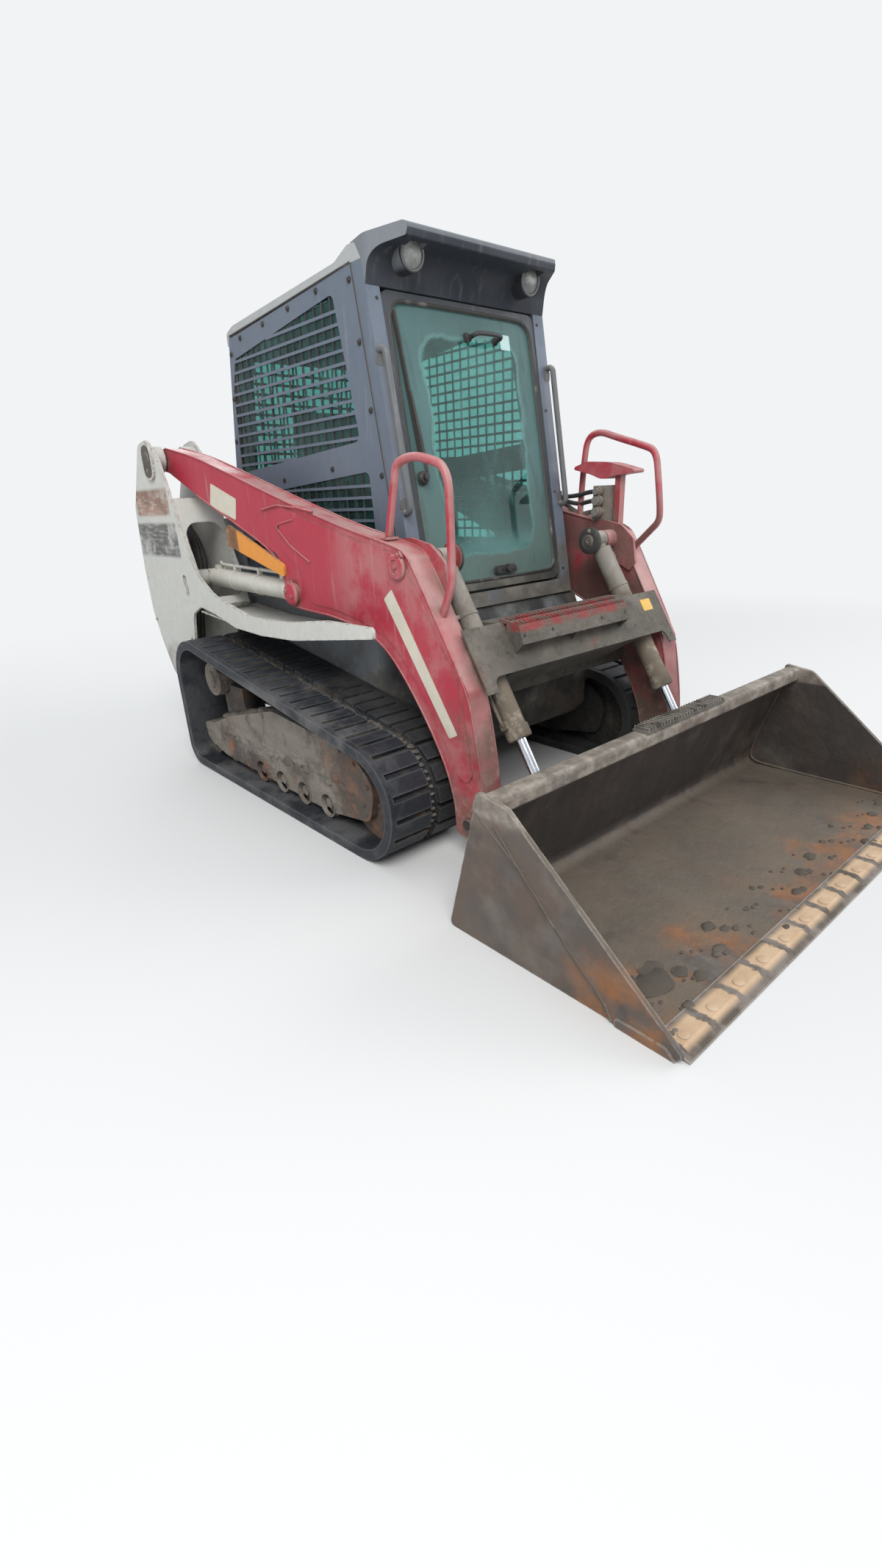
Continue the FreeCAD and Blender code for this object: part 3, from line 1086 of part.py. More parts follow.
def make_rear():
    """Engine block, bumper, swinging rear door and the hood over the engine."""
    bottom = d["hull_bottom"]
    node("engine_block", box("engine_block", (-300, 1320, bottom + d["plate"]), (300, 1640, 1150)))
    rear = d["rear_end"]
    pieces = [side_prism("bumper_beam", [outline((
        (rear - 190, 330, 30), (rear - 60, 330, 40), (rear - 20, 430, 40), (rear - 20, 545, 20), (rear - 190, 545)))],
        2 * bay_half, -bay_half)]
    for letter, side in SIDES:
        low = span(side, d["tie_rear_x"], d["tie_rear_x"] + d["tie_thick"])[0]
        pieces.append(side_prism("tie_rear_" + letter, [outline((
            (rear - 180, 340), (rear - 70, 340), (rear - 50, 250, 40), (rear - 130, 240, 40))),
            ring(rear - 100, 290, d["tie_bore"])], "Sizes.tie_thick", low))
    node("rear_bumper", joined("rear_bumper", pieces))
    door_half = bay_half - d["door_gap"]
    low, high = 545 + d["gap"], 1290
    back = d["hinge_y"] + 4
    panel = side_prism("rear_door_panel", [outline((
        (back - d["door_thick"], low, 10), (back - 12, low, 20), (back, 800, 200), (back - 20, high, 30),
        (back - d["door_thick"] - 20, high, 10)))], 2 * door_half, -door_half)
    slots = [box(f"door_slot_{z}", (-380, back - 80, z), (380, back + 10, z + 16)) for z in range(720, 1120, 40)]
    grille = cut("rear_door_grille", panel, joined("door_slots", slots))
    node("rear_door", joined("rear_door", [grille] + hinge_knuckles("rear_door", "door")))
    front = d["bay_front"] + d["plate"] - 2
    hood_low = 1310 + d["gap"]
    hood_half = bay_half - d["gap"]
    shell = side_prism("hood_shell", [outline((
        (front, hood_low, 30), (front, d["hood_z"], 25), (rear - 190, d["hood_z"] - 15, 60), (rear - 60, 1358, 40),
        (rear - 60, hood_low)))], 2 * hood_half, -hood_half)
    wall = d["sheet"]
    hollow = side_prism("hood_hollow", [outline((
        (front + wall, hood_low - 10), (front + wall, d["hood_z"] - wall, 17), (rear - 190, d["hood_z"] - 15 - wall, 60),
        (rear - 60 - wall, 1354, 32), (rear - 60 - wall, hood_low - 10)))], 2 * (hood_half - wall), wall - hood_half)
    pins = rod_x("hood_bore", -bay_half, bay_half, d["hood_pin_y"], d["hood_pin_z"], "Sizes.hood_pin + Sizes.seat")
    slots = []
    for letter, side in SIDES:
        near, far = span(side, 120, 420)
        for y in range(1420, 1660, 30):
            slots.append(box(f"hood_slot_{letter}{y}", (near, y, d["hood_z"] - 60), (far, y + 14, d["hood_z"] + 20)))
    grille = cut("hood_grille", cut("hood_open", shell, hollow), joined("hood_slots", slots))
    node("engine_hood", cut("engine_hood", grille, pins))


make_rear()


def make_seat():
    """Operator's seat and the consoles beside it."""
    base = box("seat_base", (-180, 640, d["hull_top"] + 0), (180, 1000, 1180))
    cushion = side_prism("seat_cushion", [outline((
        (560, 1180, 20), (1020, 1180, 20), (1020, 1290, 30), (560, 1310, 40)))], 480, -240)
    back = side_prism("seat_back", [outline((
        (960, 1280, 20), (1085, 1280, 30), (1135, 1850, 50), (1060, 1850, 40)))], 460, -230)
    node("operator_seat", joined("operator_seat", [base, cushion, back]))
    consoles = []
    for letter, side in SIDES:
        near, far = span(side, 285, 400)
        consoles.append(side_prism("console_" + letter, [outline((
            (480, d["hull_top"]), (1000, d["hull_top"]), (1000, 1330, 30), (520, 1330, 40)))], far - near, near))
    node("consoles", joined("consoles", consoles))


make_seat()

doc.recompute()

for item in doc.Objects:
    if "Invalid" in item.State or "Error" in item.State:
        raise RuntimeError(f"{item.Name} failed: {item.State}")
for name, piece in NODES.items():
    if piece.Shape.isNull() or not piece.Shape.isValid():
        raise RuntimeError(f"{name} is not a valid solid")
for name, piece in NODES.items():
    piece.Shape.exportStep(f"parts/{name}.step")
    size = piece.Shape.BoundBox
    print(f"{name:16} solids {len(piece.Shape.Solids)} volume {piece.Shape.Volume / 1e6:9.2f} "
          f"x {size.XMin:7.1f} {size.XMax:7.1f} y {size.YMin:7.1f} {size.YMax:7.1f} z {size.ZMin:7.1f} {size.ZMax:7.1f}")
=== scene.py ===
import math

import bmesh
import bpy
from mathutils import Matrix, Vector, noise


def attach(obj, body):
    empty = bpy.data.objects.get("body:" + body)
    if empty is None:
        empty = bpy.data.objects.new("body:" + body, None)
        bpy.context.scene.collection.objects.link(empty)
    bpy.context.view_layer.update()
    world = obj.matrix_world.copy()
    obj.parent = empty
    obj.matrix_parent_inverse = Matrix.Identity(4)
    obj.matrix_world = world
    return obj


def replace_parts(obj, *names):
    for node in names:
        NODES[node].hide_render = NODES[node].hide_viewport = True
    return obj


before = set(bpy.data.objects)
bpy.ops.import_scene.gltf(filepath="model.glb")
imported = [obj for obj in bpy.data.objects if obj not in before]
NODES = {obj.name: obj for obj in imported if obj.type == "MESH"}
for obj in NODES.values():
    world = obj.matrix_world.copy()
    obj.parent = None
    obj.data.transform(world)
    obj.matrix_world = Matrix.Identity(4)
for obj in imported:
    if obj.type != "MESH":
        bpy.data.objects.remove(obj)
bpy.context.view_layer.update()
SIDES = (("r", -1), ("l", 1))

# How far the cab's front leans back for each millimetre of height.
LEAN = 0.177

# The photo's camera, in metres and degrees: heading is from +Y towards +X.
CAMERA_PLACE = Vector((-2.3591, -2.4787, 1.3778))
CAMERA_HEADING = 40.5
CAMERA_PITCH = -23.0
CAMERA_ROLL = -2.7
FOCAL_PIXELS = 926.6
FRAME_HEIGHT = 2134
SENSOR = 36.0


def make_camera():
    heading, pitch, roll = (math.radians(a) for a in (CAMERA_HEADING, CAMERA_PITCH, CAMERA_ROLL))
    ahead = Vector((math.sin(heading) * math.cos(pitch), math.cos(heading) * math.cos(pitch),
        math.sin(pitch)))
    right = Vector((math.cos(heading), -math.sin(heading), 0))
    up = right.cross(ahead)
    turned_right = right * math.cos(roll) + up * math.sin(roll)
    turned_up = up * math.cos(roll) - right * math.sin(roll)
    camera = bpy.data.cameras.new("camera")
    camera.sensor_fit = "AUTO"
    camera.sensor_width = SENSOR
    camera.lens = SENSOR * FOCAL_PIXELS / FRAME_HEIGHT
    camera.clip_end = 200
    seen = bpy.data.objects.new("camera", camera)
    turn = Matrix((turned_right, turned_up, -ahead)).transposed()
    seen.matrix_world = Matrix.Translation(CAMERA_PLACE) @ turn.to_4x4()
    bpy.context.scene.collection.objects.link(seen)
    bpy.context.scene.camera = seen


def sign(operation, swapped=False):
    """Method that makes the Math node for a sign between two values."""

    def method(self, other):
        return self.tree.math(operation, *((other, self) if swapped else (self, other)))
    return method


class Value:
    """Output of a material's node. The signs + - * make Math nodes, and | takes the greater of two."""

    def __init__(self, tree, socket):
        self.tree, self.socket = tree, socket

    __add__, __radd__ = sign("ADD"), sign("ADD", True)
    __sub__, __rsub__ = sign("SUBTRACT"), sign("SUBTRACT", True)
    __mul__, __rmul__ = sign("MULTIPLY"), sign("MULTIPLY", True)
    __or__ = sign("MAXIMUM")

    def __abs__(self):
        return self.tree.math("ABSOLUTE", self)


class Tree:
    """The nodes of one material or world, under short names."""

    def __init__(self, name, owner=None):
        self.owner = owner or bpy.data.materials.new(name)
        self.owner.use_nodes = True
        self.nodes, self.links = self.owner.node_tree.nodes, self.owner.node_tree.links
        self.shader = self.nodes.get("Principled BSDF")
        coordinates = self.nodes.new("ShaderNodeTexCoord")
        self.place = Value(self, coordinates.outputs["Object"])
        self.normal = Value(self, coordinates.outputs["Normal"])
        self.offset = sum(ord(letter) for letter in name) % 97

    def add(self, kind, inputs=(), out=0, **settings):
        node = self.nodes.new("ShaderNode" + kind)
        for key, value in settings.items():
            setattr(node, key, value)
        for key, value in dict(inputs).items():
            self.feed(node.inputs[key], value)
        return Value(self, node.outputs[out])

    def feed(self, socket, value):
        if isinstance(value, Value):
            self.links.new(value.socket, socket)
        elif socket.type == "RGBA" and len(value) == 3:
            socket.default_value = (*value, 1)
        else:
            socket.default_value = value

    def math(self, operation, a, b=0.0, clamp=False):
        return self.add("Math", {0: a, 1: b}, operation=operation, use_clamp=clamp)

    def noise(self, scale, detail=4.0, stretch=(1, 1, 1), rough=0.55, shift=0.0):
        moved = self.add("Mapping", {"Vector": self.place, "Location": (self.offset + shift,) * 3,
            "Scale": stretch})
        return self.add("TexNoise", {"Vector": moved, "Scale": scale, "Detail": detail, "Roughness": rough},
            "Fac")

    def step(self, value, low, high):
        """0 below low, 1 above high and smooth between."""
        return self.add("MapRange", {"Value": value, "From Min": low, "From Max": high},
            interpolation_type="SMOOTHSTEP")

    def patchy(self, scale, low, high, shift=0.0, detail=6, stretch=(1, 1, 1), rough=0.62):
        return self.step(self.noise(scale, detail, stretch, rough, shift), low, high)

    def mix(self, share, a, b):
        return self.add("Mix", {0: share, 6: a, 7: b}, 2, data_type="RGBA", clamp_factor=True)

    def axis(self, letter):
        return self.add("SeparateXYZ", {0: self.place}, "XYZ".index(letter))

    def within(self, low, high, soft=0.02):
        """1 inside a box of the object's own coordinates; a side that is None is open."""
        share = 1.0
        for letter, start, end in zip("XYZ", low, high):
            for edge, way in ((start, 1), (end, -1)):
                if edge is not None:
                    share = share * self.step(self.axis(letter), edge - way * soft, edge + way * soft)
        return share

    def facing(self, letter="Z"):
        return self.add("SeparateXYZ", {0: self.normal}, "XYZ".index(letter))

    def outward(self):
        """Above 0 on faces that look away from the machine's middle plane, below 0 on those that look to it."""
        return self.axis("X") * self.facing("X")

    def edges(self, radius, low=0.02, high=0.2):
        """1 along the edges of the shape, where paint wears away."""
        dot = self.add("VectorMath", {0: self.add("Bevel", {"Radius": radius}, samples=4),
            1: self.add("NewGeometry", (), "Normal")}, "Value", operation="DOT_PRODUCT")
        return self.step(1 - dot, low, high)

    def corners(self, distance, low=0.35, high=0.9):
        """1 in the recesses of the shape, where dirt stays."""
        return 1 - self.step(self.add("AmbientOcclusion", {"Distance": distance}, "AO", samples=6,
            only_local=False), low, high)

    def bump(self, height, strength, distance):
        self.feed(self.shader.inputs["Normal"], self.add("Bump",
            {"Height": height, "Strength": strength, "Distance": distance}))

    def clear(self, share, ior):
        self.feed(self.shader.inputs["Transmission Weight"], share)
        self.shader.inputs["IOR"].default_value = ior

    def finish(self, colour, roughness, metallic=0.0):
        for key, value in (("Base Color", colour), ("Roughness", roughness), ("Metallic", metallic)):
            self.feed(self.shader.inputs[key], value)
        return self.owner


MUD = (0.19, 0.145, 0.1)
MUD_DARK = (0.085, 0.068, 0.05)
MUD_PALE = (0.36, 0.3, 0.23)
RUST = (0.2, 0.085, 0.035)
RUST_BRIGHT = (0.4, 0.165, 0.055)
DUST = (0.42, 0.39, 0.34)
# Near black: dirt in the orange lock's patches, and painted shade on the hull's front, the track frames' inner
# sides and the track's inner front.
GRIME_AND_SHADE = (0.022, 0.021, 0.02)


def mud_colour(tree):
    tint = tree.mix(tree.noise(7, 5), MUD_DARK, MUD)
    return tree.mix(tree.patchy(19, 0.5, 0.72, 3), tint, MUD_PALE)


def painted(name, colour, faded, gloss=0.42, fade=0.5, dust=0.5, mud=0.4, mud_top=0.9, rust=0.25, chips=RUST,
        edge=0.012, dust_tint=DUST, grime_and_shade=None, patches=(), dusty=None, hollow_shade=None, inner=None, inside_shade=None):
    """Weathered paint: faded in clouds, chipped at edges, dusty on top, streaked, muddy low down.

    The grime box holds two colours that hide the paint there: mud on the cab and door, painted shade on the
    hull's front; patches are boxes with the colours seen there; dusty is a box that is dusty all over; the
    hollow colour is painted shade on the faces that look neither up nor outwards; inner is the colour of mud on
    the front's inner sides; the lining colour is near-black painted shade on the cab's inner faces.
    """
    tree = Tree(name)
    clouds = tree.step(tree.noise(2.3, 6), 0.42 - 0.14 * fade, 0.78 - 0.14 * fade)
    paint = tree.mix(clouds * fade, colour, faded)
    shade = tree.noise(24, 5, shift=9)
    paint = tree.mix(0.35, paint, tree.mix(shade, tuple(c * 0.62 for c in colour),
        tuple(min(1, c * 1.3) for c in colour)))
    for low, high, colours in patches:
        patch = tree.within(low, high, 0.012) * tree.patchy(6, 0.3, 0.5, 40) * 0.9
        tint = tree.mix(tree.patchy(7, 0.35, 0.65, 60), colours[0], colours[1])
        scraped = tree.patchy(40, 0.45, 0.7, 80, stretch=(1, 0.25, 1.6))
        paint = tree.mix(patch, paint, tree.mix(scraped * 0.55, tint, colours[2]))
    # Painted shade: faces that look neither up nor outwards take the dark hollow colour.
    if hollow_shade:
        outside = tree.step(tree.facing(), 0.1, 0.45) | tree.step(tree.outward(), 0.15, 0.3)
        paint = tree.mix(1 - outside, paint, hollow_shade)
    # Painted shade: the cab's inner faces, within its sides, back and leaning front, take the near-black lining
    # colour.
    if inside_shade:
        beside = 1 - tree.step(abs(tree.axis("X")), 0.502, 0.5045)
        rise = tree.axis("Z") - 1.4 | 0.0
        behind = tree.axis("Y") + rise * 0.2
        behind = 1 - tree.step(behind, 1.276, 1.283)
        ahead = tree.axis("Y") - tree.axis("Z") * 0.177
        paint = tree.mix(beside * behind * tree.step(ahead, -0.36, -0.35), paint, inside_shade)
    streaks = tree.step(tree.noise(5, 5, stretch=(6, 6, 0.55), shift=21), 0.56, 0.78)
    paint = tree.mix(streaks * (0.4 * dust + 0.1), paint, dust_tint)
    top = tree.step(tree.facing(), 0.25, 0.9) * tree.step(tree.noise(9, 5, shift=5), 0.25, 0.62)
    paint = tree.mix(top * dust, paint, dust_tint)
    if dusty:
        cloud = tree.within(*dusty, 0.12) * tree.step(tree.noise(5, 8, rough=0.66, shift=51), 0.4, 0.64)
        ahead = (1 - tree.step(tree.facing("Y"), -0.75, -0.3)) * 0.6
        paint = tree.mix(cloud * 0.38, paint, dust_tint)
        caked = tree.mix(tree.patchy(12, 0.4, 0.65, 77), (0.42, 0.28, 0.255), (0.3, 0.235, 0.2))
        paint = tree.mix(ahead * tree.step(tree.noise(6, 7, shift=81), 0.2, 0.5) * 0.85, paint, caked)
    if inner:
        side = tree.step(tree.outward() * -1.0, 0.2, 0.4) * tree.within((None, None, None), (None, 0.3, 1.3),
            0.15)
        splashed = side * tree.step(tree.noise(4, 8, rough=0.65, shift=91), 0.3, 0.55) * 0.85
        paint = tree.mix(splashed, paint, tree.mix(tree.noise(14, 5, shift=3), tuple(0.4 * c for c in inner),
            inner))
    worn = tree.edges(edge) * tree.step(tree.noise(38, 5, shift=2), 0.46, 0.6)
    spots = tree.step(tree.noise(13, 8, rough=0.68, shift=14), 0.7 - 0.06 * rust, 0.76 - 0.06 * rust)
    bare = worn | spots
    paint = tree.mix(bare * min(1.0, rust * 2.2), paint, chips)
    low = mud_top - tree.axis("Z")
    ragged = (tree.noise(4.5, 8, rough=0.62, shift=30) - 0.5) * 1.7
    splash = tree.step(low + ragged, 0.0, 0.5)
    recess = tree.corners(0.07) * tree.step(tree.noise(11, 4, shift=7), 0.3, 0.6)
    dirt = (splash | recess * 0.85) * mud
    colour_out = tree.mix(dirt, paint, mud_colour(tree))
    # The grime box lays patchy dirt colours over the paint; on the hull's front these colours are painted
    # shade.
    if grime_and_shade:
        black = tree.within(*grime_and_shade[:2], 0.08) * tree.step(tree.noise(4, 8, shift=33), 0.2, 0.5) * 0.94
        colour_out = tree.mix(black, colour_out, tree.mix(tree.patchy(8, 0.4, 0.7, 35), *grime_and_shade[2:]))
    rough = gloss + (dirt | clouds) * 0.36
    rough = rough + tree.noise(45, 3, shift=4) * 0.1
    relief = tree.noise(70, 4) * 0.25 + dirt * tree.noise(26, 7)
    tree.bump(relief, 0.35, 0.006)
    return tree.finish(colour_out, rough)


def make_rubber():
    """Track rubber: near black with a blue cast, dusty on its faces, muddy in its grooves, with painted shade
    near black on its inner side at the front.
    """
    tree = Tree("track_rubber")
    tint = tree.mix(tree.noise(3, 5), (0.006, 0.008, 0.012), (0.022, 0.026, 0.033))
    dusty = tree.step(tree.noise(8, 7, rough=0.65, shift=3), 0.5, 0.76) * 0.36
    edge = tree.edges(0.014) * 0.6
    tint = tree.mix(dusty | edge, tint, (0.13, 0.135, 0.135))
    inner = tree.within((None, -0.3, 0.03), (None, 1.3, 0.6), 0.03) * tree.patchy(4, 0.4, 0.6, 50) * 0.5
    tint = tree.mix(inner, tint, (0.17, 0.165, 0.16))
    caked = tree.corners(0.05, 0.3, 0.8) * tree.step(tree.noise(5, 5, shift=12), 0.42, 0.62)
    colour = tree.mix(caked * 0.75, tint, mud_colour(tree))
    # Painted shade: the track's inner side at the front goes near black.
    within = 1 - tree.step(abs(tree.axis("X")), 0.7, 0.82)
    front = tree.within((None, None, None), (None, 0.2, 0.6), 0.1)
    colour = tree.mix(within * front * 0.7, colour, GRIME_AND_SHADE)
    rough = 0.36 + tree.noise(12, 5, shift=8) * 0.5
    relief = tree.noise(60, 6) + caked * tree.noise(22, 6)
    tree.bump(relief, 0.5, 0.006)
    return tree.finish(colour, rough)


def make_mud_metal():
    """Track frame almost hidden under dried mud, rusty at its front, with painted shade near black on its inner
    side.
    """
    tree = Tree("undercarriage")
    bare = tree.mix(tree.noise(9, 5), (0.06, 0.05, 0.045), (0.13, 0.1, 0.08))
    ragged = (tree.noise(3.5, 7, shift=9) - 0.5) * 1.3
    front = 1 - tree.step(tree.axis("Y") + ragged, -0.5, 0.2)
    rusty = tree.patchy(6, 0.5, 0.65, 11) | front * tree.patchy(9, 0.4, 0.7, 3) * 0.8
    bare = tree.mix(rusty, bare, (0.27, 0.12, 0.055))
    layer = tree.step(tree.noise(3.2, 8, rough=0.6, shift=2) - front * 0.12, 0.34, 0.5)
    pale = tree.mix(tree.noise(7, 8, rough=0.7, shift=6, stretch=(1, 0.6, 1)), (0.1, 0.086, 0.068),
        (0.34, 0.298, 0.25))
    pale = tree.mix(tree.patchy(11, 0.5, 0.68, 18) * 0.65, pale, MUD_DARK)
    colour = tree.mix(layer, bare, pale)
    # Painted shade: the inner sides of the track frames go near black.
    inside = 1 - tree.step(abs(tree.axis("X")), 0.76, 0.9)
    colour = tree.mix(inside * 0.95, colour, tree.mix(tree.patchy(8, 0.5, 0.75, 35), GRIME_AND_SHADE, MUD_DARK))
    rough = 0.55 + tree.noise(8, 5) * 0.4
    relief = layer * 0.6 + tree.noise(18, 8, rough=0.6)
    tree.bump(relief, 0.9, 0.02)
    return tree.finish(colour, rough)


def make_worn_steel(name, streak=(1, 0.3, 0.3), top_mud=0.85, foot_rust=0.75):
    """Bucket steel: scoured brown-grey, streaked, rusty at its foot and muddy on top, with painted shade on its
    inner walls.
    """
    tree = Tree(name)
    steel = tree.mix(tree.noise(5, 7, stretch=streak), (0.05, 0.043, 0.038), (0.155, 0.134, 0.118))
    fine = tree.step(tree.noise(26, 6, stretch=streak, shift=44), 0.42, 0.75)
    steel = tree.mix(fine * 0.35, steel, (0.28, 0.25, 0.22))
    foot = tree.within((None, None, None), (None, -1.5, 0.16), 0.07)
    rusty = tree.patchy(5, 0.36, 0.6, 8) * (0.14 + foot * foot_rust)
    steel = tree.mix(rusty, steel, tree.mix(tree.noise(16, 6), RUST, RUST_BRIGHT))
    steel = tree.mix(tree.patchy(3.3, 0.5, 0.7, 17) * 0.6, steel, (0.036, 0.032, 0.03))
    # Painted shade: the bucket's inner walls and back, where they don't face up, go near black in patches.
    hollow_shade = tree.within((-1.052, -1.8, None), (1.052, None, 0.47), 0.004) * tree.patchy(2.4, 0.3, 0.55, 90)
    wall_shade = hollow_shade * (1 - tree.step(tree.facing(), 0.2, 0.6)) * 0.75
    steel = tree.mix(wall_shade, steel, (0.026, 0.023, 0.021))
    low = 0.1 - tree.axis("Z")
    wet = low + (tree.noise(5, 8, shift=30) - 0.5) * 0.8
    wet = tree.step(wet, 0.0, 0.25)
    behind = tree.noise(4, 7, shift=5) - tree.step(tree.axis("Y"), -1.45, -1.75) * 0.16
    top = tree.step(tree.facing(), 0.3, 0.8) * tree.step(behind, 0.27, 0.45)
    dirt = wet * 0.5 | top * top_mud
    silt = tree.mix(tree.noise(2.6, 7, rough=0.62), (0.085, 0.07, 0.052), (0.2, 0.165, 0.125))
    colour = tree.mix(dirt, steel, silt)
    crest = tree.within((None, None, 0.475), (None, -1.0, None), 0.012) * tree.patchy(6, 0.28, 0.5, 61)
    pale = tree.mix(tree.patchy(15, 0.4, 0.65, 6), (0.2, 0.172, 0.14), (0.4, 0.355, 0.3))
    colour = tree.mix(crest * top_mud * 0.85, colour, pale)
    pad = tree.within((-0.25, None, 0.53), (0.335, -1.0, None), 0.006)
    colour = tree.mix(pad * 0.8, colour, (0.05, 0.044, 0.038))
    edge = tree.edges(0.008) * tree.step(tree.noise(20, 4, shift=1), 0.35, 0.55)
    colour = tree.mix(edge * 0.75, colour, (0.46, 0.41, 0.35))
    rough = 0.42 + tree.noise(10, 6, shift=6) * 0.4
    tree.bump(tree.noise(30, 8, rough=0.65) + dirt * 0.5, 0.55, 0.008)
    return tree.finish(colour, rough, 0.2)


def make_edge_steel():
    """Cutting edge: dried mud in pale rectangles between the bolts, bright along its lip."""
    tree = Tree("cutting_steel")
    steel = tree.mix(tree.noise(7, 7, stretch=(0.3, 1, 1)), (0.1, 0.085, 0.075), (0.28, 0.235, 0.2))
    along = tree.math("FRACT", (tree.axis("X") + 3.0) * 6.6)
    along = along + (tree.noise(11, 4, shift=9) - 0.5) * 0.3
    along = along + (tree.noise(45, 4, shift=19) - 0.5) * 0.2
    patch = tree.step(along, 0.08, 0.15) * (1 - tree.step(along, 0.88, 0.95))
    patch = patch * tree.within((None, -1.845, None), (None, -1.775, None), 0.012)
    pale = tree.mix(tree.noise(13, 6, shift=5), (0.38, 0.235, 0.13), (0.68, 0.5, 0.33))
    colour = tree.mix(patch, tree.mix(tree.patchy(9, 0.4, 0.6, 13), steel, MUD_DARK), pale)
    colour = tree.mix(tree.edges(0.01) * 0.7, colour, (0.5, 0.45, 0.4))
    tree.bump(tree.noise(30, 8, rough=0.65) + patch, 0.5, 0.006)
    return tree.finish(colour, 0.45 + tree.noise(10, 6, shift=6) * 0.4, 0.15)


def make_cross_steel():
    """Cross member under grey-brown mud, with red paint left on its step."""
    tree = Tree("cross_mud")
    red = tree.mix(tree.noise(8, 6), (0.22, 0.022, 0.025), (0.36, 0.08, 0.07))
    worn = tree.mix(tree.patchy(11, 0.42, 0.58, 4) * 0.8, red, (0.15, 0.12, 0.095))
    mud = tree.mix(tree.noise(5, 7, shift=2), (0.065, 0.056, 0.046), (0.17, 0.15, 0.122))
    mud = tree.mix(tree.patchy(5, 0.4, 0.75, 8) * 0.7, mud, (0.235, 0.208, 0.168))
    mud = tree.mix(tree.patchy(30, 0.5, 0.72, 28) * 0.6, mud, (0.045, 0.038, 0.032))
    step = tree.within((-0.43, -0.735, 0.884), (0.28, -0.6, 0.93), 0.008)
    left = tree.patchy(4, 0.6, 0.72, 21) * 0.5
    colour = tree.mix(step | left, mud, worn)
    tree.bump(tree.noise(28, 8, rough=0.7), 0.9, 0.02)
    return tree.finish(colour, 0.6 + tree.noise(12, 5, shift=6) * 0.3)


def make_chrome():
    tree = Tree("chrome_rod")
    colour = tree.mix(tree.step(tree.noise(12, 5), 0.5, 0.8), (0.78, 0.8, 0.83), (0.5, 0.5, 0.5))
    rough = 0.08 + tree.noise(20, 4) * 0.2
    return tree.finish(colour, rough, 1.0)


def make_glass(name, wiped=None):
    """Teal tinted pane under a film of dust; wiped is the box that was wiped clean."""
    tree = Tree(name)
    film = tree.step(tree.noise(2.2, 7, rough=0.6), 0.4, 0.8)
    streak = tree.step(tree.noise(5, 6, stretch=(4, 4, 0.5), shift=4), 0.5, 0.75)
    dust = (film | streak) * (0.3 if wiped else 0.1)
    if wiped:
        clean = tree.within(*wiped, 0.1)
        ragged = tree.step(clean + (tree.noise(3, 6, shift=7) - 0.5) * 1.1, 0.36, 0.6)
        kept = 1 - ragged
        low = (1 - tree.step(tree.axis("Z"), 0.98, 1.25)) * tree.patchy(5, 0.25, 0.75, 71)
        dust = tree.math("ADD", dust * 0.35, kept * 0.58 | low * 0.7, clamp=True)
    tint = tree.mix(tree.noise(3, 4, shift=15), (0.22, 0.5, 0.47), (0.33, 0.64, 0.6))
    film_colour = tree.mix(tree.step(tree.axis("Z"), 1.05, 1.6), (0.12, 0.125, 0.105), (0.075, 0.11, 0.115))
    colour = tree.mix(tree.step(dust, 0.08, 0.85), tint, film_colour)
    tree.clear(tree.math("SUBTRACT", 0.97, dust, clamp=True), 1.22)
    return tree.finish(colour, dust * 0.7)


def make_vinyl():
    tree = Tree("seat_vinyl")
    colour = tree.mix(tree.noise(6, 5), (0.02, 0.02, 0.022), (0.06, 0.058, 0.055))
    tree.bump(tree.noise(260, 3), 0.3, 0.001)
    return tree.finish(colour, 0.45 + tree.noise(14, 4) * 0.25)


def plain_weathered(name, dark, light, rough, dirt=0.35, metallic=0.0, grain=120):
    """Simple moulded plastic, rubber or iron with clouds of dirt."""
    tree = Tree(name)
    colour = tree.mix(tree.noise(5, 5), dark, light)
    dirty = (tree.corners(0.05) | tree.patchy(7, 0.55, 0.75, 5)) * dirt
    colour = tree.mix(dirty, colour, DUST)
    tree.bump(tree.noise(grain, 4), 0.2, 0.002)
    return tree.finish(colour, rough + tree.noise(18, 4, shift=2) * 0.2, metallic)


def make_lens():
    """Clear lamp glass with upright flutes."""
    tree = Tree("lamp_lens")
    flutes = tree.add("TexWave", {"Vector": tree.place, "Scale": 60.0, "Distortion": 0.4}, "Fac",
        bands_direction="X")
    dust = tree.patchy(9, 0.45, 0.75) * 0.3
    tree.bump(flutes, 0.25, 0.002)
    tree.clear(0.95 - dust, 1.45)
    return tree.finish(tree.mix(dust, (0.93, 0.94, 0.94), (0.5, 0.48, 0.44)), 0.04 + dust * 0.6)


